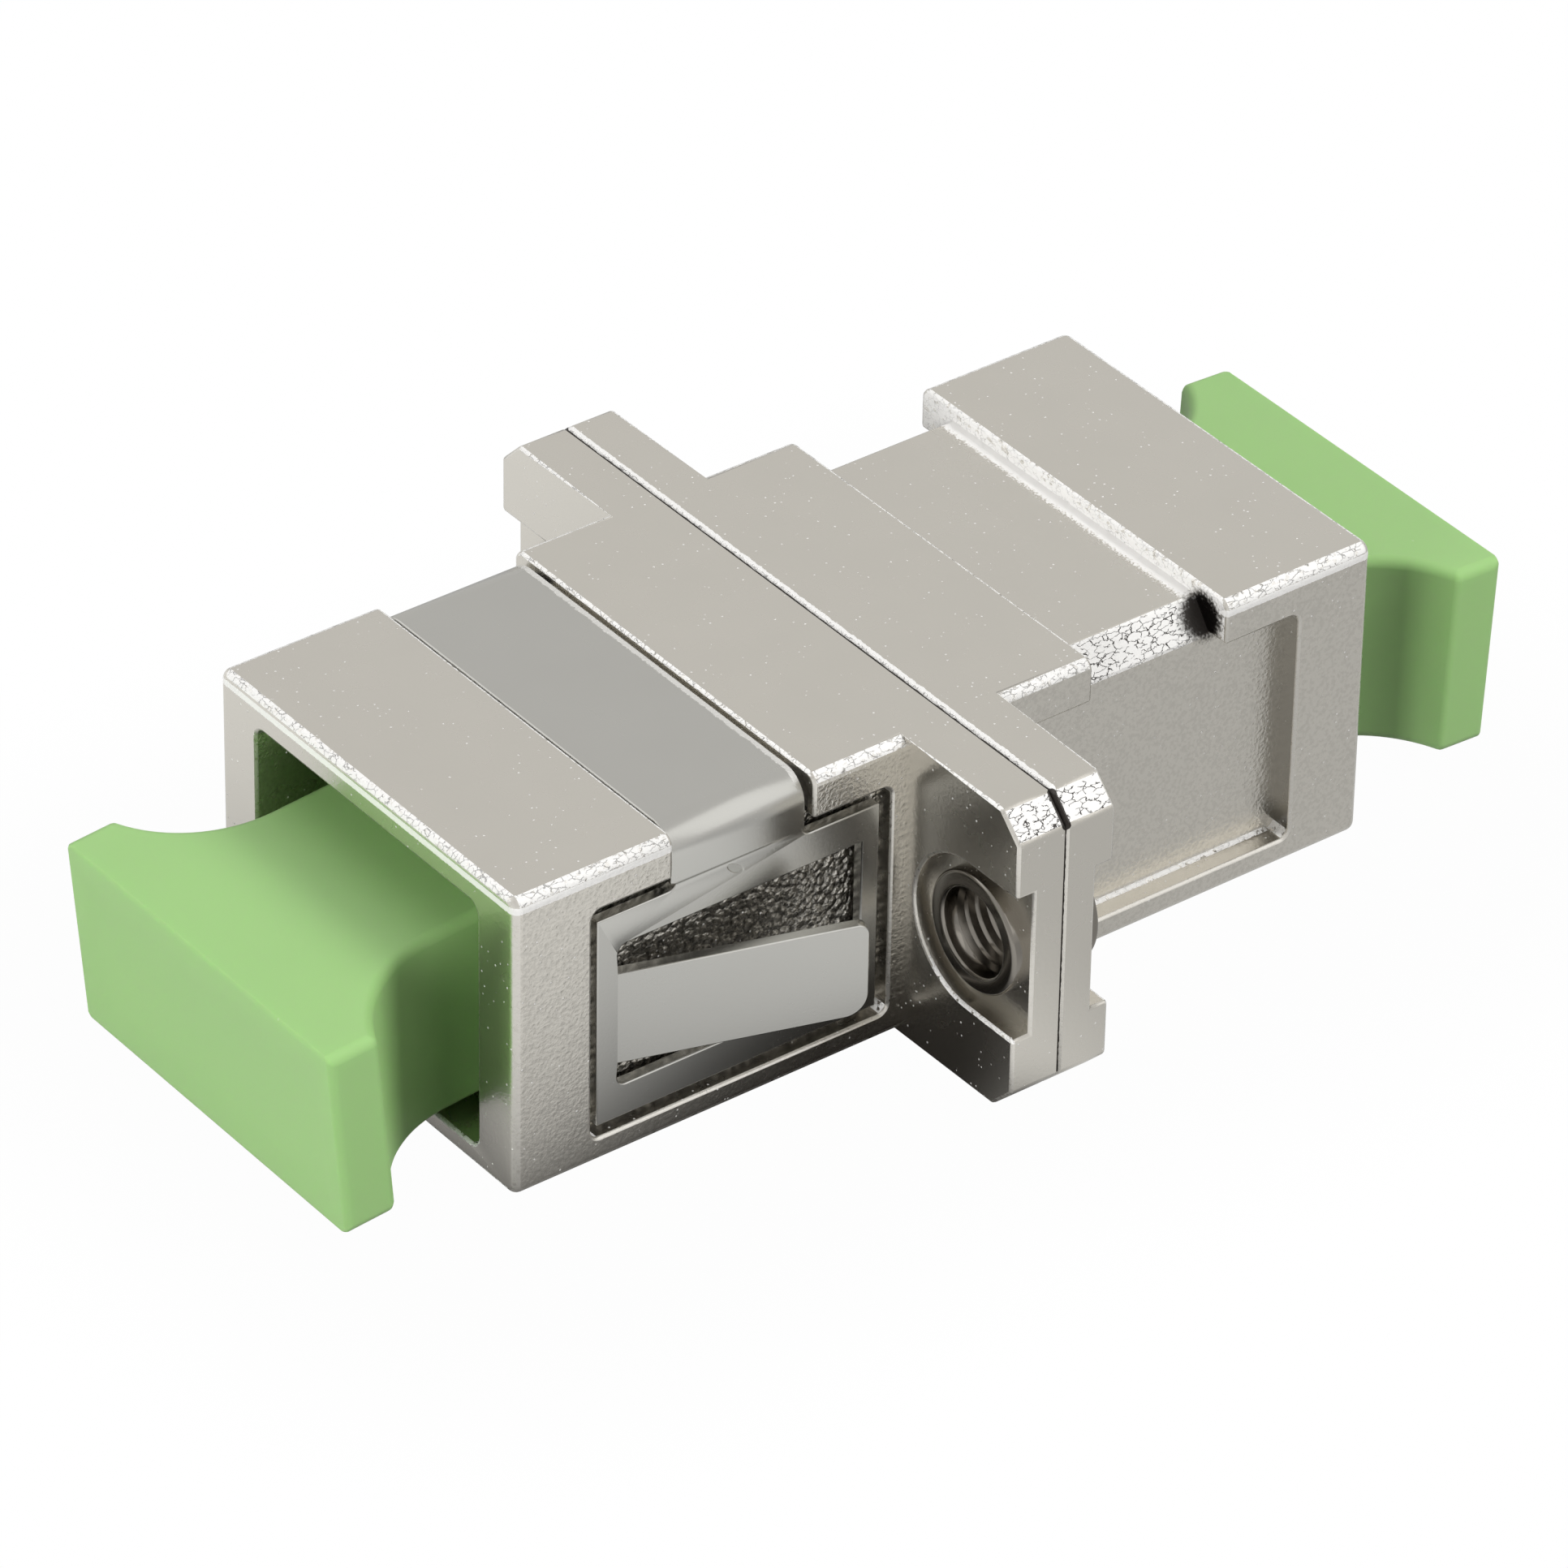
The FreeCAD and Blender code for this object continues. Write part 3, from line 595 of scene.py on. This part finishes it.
def is_slanted(face):
    return not any(faces_along(component) for component in face.normal)


def is_narrow(face):
    """Whether a face is a strip, as the rounding of an edge leaves it."""
    strip = 0.3 * MM
    return face.calc_area() < strip * max(edge.calc_length() for edge in face.edges)


def cast_grain(face):
    """How pebbled a cast face is: tops are smooth, sides pebbled, the clip's recess most."""
    near, ledge_side = 0.1 * MM, 6.1 * MM
    middle, normal = face.calc_center_median(), face.normal
    side = abs(middle.x)
    if is_slanted(face) and middle.z < LEDGE_TOP and side < ledge_side:
        return 1.3
    if faces_along(normal.x) and abs(side - RECESS_SIDE) < near and middle.y < 0:
        return 1.8
    if faces_along(normal.z) and middle.z > LEDGE_TOP:
        return 0.12
    if faces_along(normal.x) and side < BODY_SIDE:
        return 1.0
    return 0.28


def cast_wear_and_highlight(face):
    """How far a cast face is rubbed bright, and how far it is a ragged chamfer; both carry painted
    highlight.
    """
    ear_side, lip_side, ledge_side, step_side = 10.3 * MM, 7.0 * MM, 6.1 * MM, 5.6 * MM
    shoulder, step_low, step_high, step_wall = 7.8 * MM, 8.7 * MM, 8.97 * MM, 0.35 * MM
    seam = 0.2 * MM
    middle, normal = face.calc_center_median(), face.normal
    side, slanted, narrow = abs(middle.x), is_slanted(face), is_narrow(face)
    across = min(abs(normal.x), abs(normal.y)) < 0.2
    on_top_edge = 0.3 < normal.z and not faces_along(normal.z) and across
    at_top_edge = slanted and on_top_edge and middle.z > shoulder
    before_seam = -seam < middle.y < 0
    at_step = abs(abs(middle.y) - STEP_ALONG) < step_wall and normal.z < 0.95

    # Cracks and painted highlight: the wide slanted faces along the top edges turn white, with
    # dark cracks.
    cracks_and_highlight = float(at_top_edge and not narrow)
    # Wear and painted highlight: rounded top edges, lips, the step and the lower ledge.
    wear_and_highlight = 0.0
    if at_top_edge and narrow and side < ear_side and not before_seam:
        wear_and_highlight = 1.0
    elif slanted and narrow and (abs(normal.y) > 0.25 or side < lip_side):
        on_lip = side > lip_side and 1.0 * MM < middle.z < 3.0 * MM and normal.z > 0.3
        wear_and_highlight = 0.6 if on_lip else 0.12
    if at_step and middle.z > step_low and side < step_side:
        wear_and_highlight = 0.5 if middle.z < step_high or on_top_edge else 0.1
    if slanted and middle.z < LEDGE_TOP and side < ledge_side:
        wear_and_highlight = 0.45
    return wear_and_highlight, cracks_and_highlight


def is_painted_shade_wall(face):
    """Whether a face is the end wall of a rear side recess, which gets painted shade."""
    end_wall, inner, outer = 11.25 * MM, 5.5 * MM, 6.2 * MM
    middle = face.calc_center_median()
    return face.normal.y < -0.5 and middle.y > end_wall and inner < abs(middle.x) < outer


def mark_cast_faces(bm):
    """Give each face of a cast half the marks that its material reads."""
    layers = [bm.faces.layers.float.new(name) for name in CAST_MARKS]
    for face in bm.faces:
        marks = (cast_grain(face), *cast_wear_and_highlight(face), float(is_painted_shade_wall(face)))
        for layer, mark in zip(layers, marks):
            face[layer] = mark


def chain_arc(bm, vert, centre, axis, angle, steps):
    """Extend an edge chain from its end vertex by an arc and return the arc's far vertex."""
    made = bmesh.ops.spin(bm, geom=[vert], cent=centre, axis=axis, angle=angle, steps=steps,
                          dvec=(0, 0, 0), use_merge=False)
    return next(v for v in made["geom_last"] if isinstance(v, bmesh.types.BMVert))


def chain_line(bm, vert, place):
    """Extend an edge chain by one straight edge."""
    end = bm.verts.new(place)
    bm.edges.new((vert, end))
    return end


def eyelet_shape(bm, side, settings):
    """A hollow rivet about the Y axis at one ear, with both rims rolled over."""
    low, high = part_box(f"{side}_eyelet")
    middle = (low + high) / 2
    head, end = (high.x - low.x) / 2, (high.y - low.y) / 2
    bore, tube, seat = 1.225 * MM, 1.475 * MM, 1.0 * MM
    ripple, pitch, waves = 0.07 * MM, 0.34 * MM, 3
    roll, steps, sides = settings.roll, 8, 96
    quarter, axis = math.pi / 2, (0, 0, 1)

    vert = bm.verts.new((bore, 0, 0))
    for wave in range(waves):
        vert = chain_line(bm, vert, (bore + ripple, -(wave + 0.5) * pitch, 0))
        vert = chain_line(bm, vert, (bore, -(wave + 1) * pitch, 0))
    vert = chain_line(bm, vert, (bore, roll - end, 0))
    vert = chain_arc(bm, vert, (bore + roll, roll - end, 0), axis, quarter, steps)
    vert = chain_line(bm, vert, (head - roll, -end, 0))
    vert = chain_arc(bm, vert, (head - roll, roll - end, 0), axis, quarter, steps)
    vert = chain_line(bm, vert, (head, -seat, 0))
    vert = chain_line(bm, vert, (tube, -seat, 0))
    chain_line(bm, vert, (tube, 0, 0))
    bmesh.ops.mirror(bm, geom=bm.verts[:] + bm.edges[:], axis="Y", merge_dist=WELD)
    bmesh.ops.spin(bm, geom=bm.verts[:] + bm.edges[:], cent=(0, 0, 0), axis=(0, 1, 0),
                   angle=2 * math.pi, steps=sides, dvec=(0, 0, 0), use_merge=True)
    bmesh.ops.remove_doubles(bm, verts=bm.verts, dist=WELD)
    bmesh.ops.recalc_face_normals(bm, faces=bm.faces)
    bmesh.ops.translate(bm, verts=bm.verts, vec=middle)
    for face in bm.faces:
        face.smooth = True
    for edge in bm.edges:
        edge.smooth = not is_sharp(edge)


def plug_outline(bm, p):
    """The right half of a plug's outline seen from above, on z = 0, from the bore to the plate."""
    half, plate_half = p.width / 2, p.plate_width / 2
    plate_inner = p.plate_thickness - p.reach
    centre_x = half + p.scoop
    drop = math.sqrt(p.scoop ** 2 - (centre_x - plate_half) ** 2)
    centre = Vector((centre_x, plate_inner + drop, 0))
    sweep = math.atan2(drop, centre_x - plate_half)
    steps = 20
    vert = bm.verts.new((0, p.entry, 0))
    vert = chain_line(bm, vert, (half, p.entry, 0))
    vert = chain_line(bm, vert, (half, centre.y, 0))
    vert = chain_arc(bm, vert, centre, (0, 0, 1), sweep, steps)
    vert = chain_line(bm, vert, (plate_half, -p.reach, 0))
    chain_line(bm, vert, (0, -p.reach, 0))


def plug_shape(bm, p):
    """A soft plug about its own axis: block with a bore, scooped flanks, wide plate."""
    plug_outline(bm, p)
    bmesh.ops.mirror(bm, geom=bm.verts[:] + bm.edges[:], axis="X", merge_dist=WELD)
    bmesh.ops.remove_doubles(bm, verts=bm.verts, dist=WELD)
    middle = [v for v in bm.verts if abs(v.co.x) < WELD]
    bmesh.ops.dissolve_verts(bm, verts=middle)
    bmesh.ops.contextual_create(bm, geom=bm.edges)
    bmesh.ops.translate(bm, verts=bm.verts, vec=(0, 0, -p.height / 2))
    made = bmesh.ops.extrude_face_region(bm, geom=bm.faces[:], use_keep_orig=True)
    raised = [v for v in made["geom"] if isinstance(v, bmesh.types.BMVert)]
    bmesh.ops.translate(bm, verts=raised, vec=(0, 0, p.height))
    bmesh.ops.recalc_face_normals(bm, faces=bm.faces)
    plug_bore(bm, p)
    plug_dish(bm, p)
    weigh_plug_edges(bm, p)


def facing(bm, direction):
    """The largest face that looks in this direction."""
    return max((f for f in bm.faces if f.normal.dot(Vector(direction)) > 0.99),
               key=lambda f: f.calc_area())


def plug_bore(bm, p):
    """Sink the round bore into the block's inner end."""
    cuts, wall = 9, 0.1 * MM
    face = facing(bm, (0, 1, 0))
    bmesh.ops.subdivide_edges(bm, edges=face.edges[:], cuts=cuts, use_grid_fill=False)
    face = facing(bm, (0, 1, 0))
    bmesh.ops.inset_individual(bm, faces=[face], thickness=wall, depth=0.0)
    for vert in face.verts:
        flat = Vector((vert.co.x, 0, vert.co.z)).normalized() * (p.bore / 2)
        vert.co = (flat.x, p.entry, flat.z)
    made = bmesh.ops.extrude_discrete_faces(bm, faces=[face])
    bmesh.ops.translate(bm, verts=made["faces"][0].verts, vec=(0, -p.bore_depth, 0))


def plug_dish(bm, p):
    """Hollow the plate's outer face very gently."""
    border, slope, depth = 0.75 * MM, 0.55 * MM, 0.08 * MM
    face = facing(bm, (0, -1, 0))
    bmesh.ops.inset_individual(bm, faces=[face], thickness=border, depth=0.0)
    bmesh.ops.inset_individual(bm, faces=[face], thickness=slope, depth=-depth)


def weigh_plug_edges(bm, p):
    """Weights for the rounding of a plug's edges: tight round the outer face, soft elsewhere."""
    weight = bm.edges.layers.float.new("bevel_weight_edge")
    tight, corner, rim, end = 0.22, 0.85, 0.45, 0.5
    for edge in bm.edges:
        if not is_sharp(edge):
            continue
        a, b = (v.co for v in edge.verts)
        upright = abs(a.z - b.z) > abs(a.x - b.x) + abs(a.y - b.y)
        outer = abs(a.y + p.reach) < WELD and abs(b.y + p.reach) < WELD
        inner = a.y > p.entry - WELD and b.y > p.entry - WELD
        in_bore = max(a.xz.length, b.xz.length) < p.bore / 2 + WELD
        if in_bore:
            edge[weight] = 0.0
        elif inner:
            edge[weight] = end
        elif outer:
            edge[weight] = corner if upright else tight
        elif upright:
            edge[weight] = rim
        else:
            edge[weight] = 1.0


# How each plug hangs on its barrel: which way round, how low and how far its outer end leans
PLUG_HANG = {"front": (0, 0.0, 5.0), "rear": (180, 0.3 * MM, 2.9)}


def plug_place(end):
    """Where a plug hangs: its barrel's tip, its small sag and the lean of its outer end."""
    axis_height, barrel_reach = 4.425 * MM, 7.0 * MM
    way_round, sag, lean = PLUG_HANG[end]
    spin = Matrix.Rotation(math.radians(way_round), 4, "Z")
    tip = spin @ Vector((0, -barrel_reach, 0)) + Vector((0, 0, axis_height - sag))
    return Matrix.Translation(tip) @ spin @ Matrix.Rotation(math.radians(lean), 4, "X")


class COUPLER_OT_housings(bpy.types.Operator):
    """Finish the two cast halves"""
    bl_idname = "coupler.housings"
    bl_label = "Cast halves"

    def execute(self, context):
        settings = context.scene.coupler_cast
        material = cast_metal(settings)
        for end in ("front", "rear"):
            bm = merged(f"{end}_housing")
            shade_curves(bm)
            wear_edges(bm, settings.edge_round, seam=0.1 * MM)
            round_recess_corners(bm, settings.corner_round)
            mark_cast_faces(bm)
            publish(bm, f"{end}_cast_half", "coupler", [f"{end}_housing"], material)
        return {"FINISHED"}


def fit_neck(bm):
    """Let the clip's neck lie close to the front of its groove, with a burr along its back."""
    front, back, near = -8.65 * MM, -4.75 * MM, 0.02 * MM
    forward, backward = 0.20 * MM, 0.10 * MM
    for vert in bm.verts:
        if abs(vert.co.y - front) < near:
            vert.co.y -= forward
        elif abs(vert.co.y - back) < near:
            vert.co.y += backward


class COUPLER_OT_clip(bpy.types.Operator):
    """Finish the folded panel clip"""
    bl_idname = "coupler.clip"
    bl_label = "Panel clip"

    def execute(self, context):
        settings = context.scene.coupler_clip
        bm = merged("panel_clip")
        fit_neck(bm)
        shade_curves(bm)
        wear_edges(bm, settings.edge_round)
        publish(bm, "spring_clip", "coupler", ["panel_clip"], clip_steel(settings))
        return {"FINISHED"}


class COUPLER_OT_eyelets(bpy.types.Operator):
    """Make the two rolled eyelets"""
    bl_idname = "coupler.eyelets"
    bl_label = "Eyelets"

    def execute(self, context):
        settings = context.scene.coupler_eyelet
        material = eyelet_metal(settings)
        for side in ("left", "right"):
            bm = bmesh.new()
            eyelet_shape(bm, side, settings)
            publish(bm, f"{side}_rolled_eyelet", "coupler", [f"{side}_eyelet"],
                    material)
        return {"FINISHED"}


class COUPLER_OT_inside(bpy.types.Operator):
    """Finish the inner holders and the split sleeve"""
    bl_idname = "coupler.inside"
    bl_label = "Holders and sleeve"

    def execute(self, context):
        settings = context.scene.coupler_inside
        plastic, ceramic = holder_plastic(settings), sleeve_ceramic(settings)
        pieces = (
            ("front_sleeve_holder", "front_holder", "holder_plastic", plastic),
            ("rear_sleeve_holder", "rear_holder", "holder_plastic", plastic),
            ("split_sleeve", "ceramic_sleeve", "sleeve_ceramic", ceramic),
        )
        for node, name, slot, material in pieces:
            bm = merged(node)
            shade_curves(bm)
            wear_edges(bm, settings.edge_round)
            publish(bm, name, "coupler", [node], material)
        return {"FINISHED"}


class COUPLER_OT_plugs(bpy.types.Operator):
    """Make the two soft dust plugs"""
    bl_idname = "coupler.plugs"
    bl_label = "Dust plugs"

    def execute(self, context):
        settings = context.scene.coupler_plug
        material = plug_soft(settings)
        for end in ("front", "rear"):
            bm = bmesh.new()
            plug_shape(bm, settings)
            for face in bm.faces:
                face.smooth = True
            bmesh.ops.transform(bm, matrix=plug_place(end), verts=bm.verts)
            piece = publish(bm, f"{end}_soft_plug", f"{end}_plug", [f"{end}_dust_plug"],
                            material)
            soft = piece.modifiers.new("soft_edges", "BEVEL")
            soft.limit_method = "WEIGHT"
            soft.width = settings.soft_edge
            soft.segments = 6
            soft.harden_normals = True
        return {"FINISHED"}


class COUPLER_OT_studio(bpy.types.Operator):
    """Set up the floor, the lamps, the background and the camera"""
    bl_idname = "coupler.studio"
    bl_label = "Studio"

    def execute(self, context):
        settings = context.scene.coupler_studio
        make_floor(settings)
        make_background(context.scene, settings)
        for lamp in LAMPS:
            make_lamp(*lamp)
        make_camera(context.scene, settings)
        context.scene.view_settings.view_transform = "Standard"
        return {"FINISHED"}


LAMP_DISTANCE = 0.40
# Each lamp's name, direction from the object, width, brightness, and whether metal mirrors it
LAMPS = (
    ("overhead", (-0.35, 0.25, 0.90), 0.50, 0.95, False),
    ("front", (0.30, -0.88, 0.18), 0.20, 10.8, False),
    ("front_left", (-0.65, -0.55, 0.48), 0.40, 0.4, True),
    ("back_right", (0.57, 0.50, 0.65), 0.40, 0.42, True),
    ("rim", (0.57, 0.50, 0.65), 0.12, 20.0, False),
)


def make_lamp(name, direction, width, radiance, mirrored):
    """A square soft box that looks at the object from this direction."""
    lamp = bpy.data.lights.new(name, "AREA")
    lamp.shape = "SQUARE"
    lamp.size = width
    lamp.energy = radiance * math.pi * width ** 2
    holder = bpy.data.objects.new(name, lamp)
    away = Vector(direction).normalized()
    look = away.to_track_quat("Z", "Y").to_matrix().to_4x4()
    holder.matrix_world = Matrix.Translation(away * LAMP_DISTANCE) @ look
    holder.visible_glossy = mirrored
    bpy.context.scene.collection.objects.link(holder)


def seen(finish, camera_share, mirror_share):
    """How white a background surface is: in the picture, and in what metal mirrors."""
    path = finish.add("LightPath", {}, {})
    mirrored = path.out("Is Glossy Ray").math("MAXIMUM", path.out("Is Transmission Ray"))
    return path.out("Is Camera Ray") * camera_share + mirrored * mirror_share


def foot_distance(finish, half):
    """How far the floor lies from a block's foot, half its size, in millimetres."""
    gaps = [(finish.axis(name).math("ABSOLUTE") - reach).math("MAXIMUM", 0.0)
            for name, reach in zip("XY", half)]
    return (gaps[0] * gaps[0] + gaps[1] * gaps[1]).math("SQRT")


def painted_floor_shadow(finish, settings):
    """Painted shadow: how light the floor is as metal mirrors it, dark at the foot, in the corners
    and behind.
    """
    least, nook_start, flange_share, nook_power = 0.25, 1.5, 0.6, 1.5
    along = finish.axis("Y")
    from_body, from_flange = foot_distance(finish, BODY_HALF), foot_distance(finish, FLANGE_HALF)
    foot = (from_body * (-MM / settings.near_width)).math("EXPONENT") * along.ramp(8.0, -4.0)
    nook = (from_body + from_flange * flange_share).ramp(settings.nook / MM, nook_start)
    nook = nook * along.ramp(1.5, -1.5)
    fade = (1.0 - foot * (1.0 - least)) * (1.0 - nook).math("POWER", nook_power)
    return fade * (1.0 - along.ramp(-1.0, 5.0) * settings.behind)


def make_floor(settings):
    """A pale floor under the object, white in the picture apart from the shadow."""
    gap, white = 0.01 * MM, (1.0, 1.0, 1.0)
    bm = bmesh.new()
    bmesh.ops.create_grid(bm, x_segments=1, y_segments=1, size=settings.floor_half)
    bmesh.ops.translate(bm, verts=bm.verts, vec=(0, 0, -gap))
    mesh = bpy.data.meshes.new("floor")
    bm.to_mesh(mesh)
    bm.free()
    floor = bpy.data.objects.new("floor", mesh)
    bpy.context.scene.collection.objects.link(floor)
    finish = Finish("pale_floor")
    finish.set(Base_Color=settings.floor, Roughness=0.9, Specular_IOR_Level=0.0)
    in_picture = finish.add("LightPath", {}, {}).out("Is Camera Ray")
    # Painted shadow on the floor, seen only in what metal mirrors.
    mirrored = finish.mix(painted_floor_shadow(finish, settings), settings.near, settings.far)
    plain = finish.add("Emission", {}, {"Color": finish.mix(in_picture, mirrored, white)})
    far = settings.white_from / MM
    far_white = foot_distance(finish, BODY_HALF).ramp(0.3 * far, far)
    whiteness = far_white * (1.0 - settings.whiteness) + settings.whiteness
    blend = finish.add("MixShader", {}, {
        0: seen(finish, whiteness, settings.mirrored),
        1: finish.shader.out("BSDF"), 2: plain.out()})
    finish.feed(finish.output.node.inputs["Surface"], blend.out())
    mesh.materials.append(finish.material)


def make_background(scene, settings):
    """Plain light from all round: white in the picture, grey walls in what metal mirrors."""
    world = bpy.data.worlds.new("studio")
    scene.world = world
    world.use_nodes = True
    tree = world.node_tree
    tree.nodes.clear()
    path = tree.nodes.new("ShaderNodeLightPath")
    shown = tree.nodes.new("ShaderNodeOutputWorld").inputs["Surface"]
    warm, plain = (1.0, 0.99, 0.97, 1.0), (1.0, 1.0, 1.0, 1.0)
    layers = (("Is Camera Ray", plain, 1.0), ("Is Glossy Ray", warm, settings.walls),
              (None, warm, settings.fill))
    for ray, tint, strength in layers:
        light = tree.nodes.new("ShaderNodeBackground")
        light.inputs["Color"].default_value = tint
        light.inputs["Strength"].default_value = strength
        if ray is None:
            tree.links.new(light.outputs[0], shown)
            break
        blend = tree.nodes.new("ShaderNodeMixShader")
        tree.links.new(path.outputs[ray], blend.inputs[0])
        tree.links.new(light.outputs[0], blend.inputs[2])
        tree.links.new(blend.outputs[0], shown)
        shown = blend.inputs[1]


def make_camera(scene, settings):
    """The camera at the picture's own angle and framing."""
    data = bpy.data.cameras.new("camera")
    data.lens = settings.focal
    data.sensor_width = 36.0
    data.clip_start = 0.01
    camera = bpy.data.objects.new("camera", data)
    scene.collection.objects.link(camera)
    scene.camera = camera
    level = math.cos(settings.elevation)
    back = Vector((math.sin(settings.azimuth) * level, -math.cos(settings.azimuth) * level,
                   math.sin(settings.elevation)))
    right = Vector((0, 0, 1)).cross(back).normalized()
    up = back.cross(right)
    tilt = Matrix.Rotation(settings.roll, 3, back)
    right, up = tilt @ right, tilt @ up
    target = right * settings.across + up * settings.above + Vector((0, 0, settings.middle))
    look = Matrix((right, up, back)).transposed().to_4x4()
    camera.matrix_world = Matrix.Translation(target + back * settings.distance) @ look


class COUPLER_PT_panel(bpy.types.Panel):
    """The pieces of the coupler, in the order they are made"""
    bl_label = "Fibre optic coupler"
    bl_idname = "COUPLER_PT_panel"
    bl_space_type = "VIEW_3D"
    bl_region_type = "UI"
    bl_category = "Coupler"

    def draw(self, context):
        for maker in MAKERS:
            self.layout.operator(maker.bl_idname)
        for name, group in SETTINGS.items():
            box = self.layout.box()
            box.label(text=group.__doc__)
            for key in group.__annotations__:
                box.prop(getattr(context.scene, name), key)


SETTINGS = {
    "coupler_cast": CastFinish,
    "coupler_clip": ClipFinish,
    "coupler_eyelet": EyeletFinish,
    "coupler_inside": InsideFinish,
    "coupler_plug": PlugFinish,
    "coupler_studio": StudioSetup,
}
MAKERS = (COUPLER_OT_housings, COUPLER_OT_clip, COUPLER_OT_eyelets, COUPLER_OT_inside,
          COUPLER_OT_plugs, COUPLER_OT_studio)


def register():
    for part in (*SETTINGS.values(), *MAKERS, COUPLER_PT_panel):
        bpy.utils.register_class(part)
    for name, group in SETTINGS.items():
        setattr(bpy.types.Scene, name, PointerProperty(type=group))


def unregister():
    for name in SETTINGS:
        delattr(bpy.types.Scene, name)
    for part in reversed((*SETTINGS.values(), *MAKERS, COUPLER_PT_panel)):
        bpy.utils.unregister_class(part)


def main():
    register()
    bpy.ops.coupler.housings()
    bpy.ops.coupler.clip()
    bpy.ops.coupler.eyelets()
    bpy.ops.coupler.inside()
    bpy.ops.coupler.plugs()
    bpy.ops.coupler.studio()


if __name__ == "__main__":
    main()
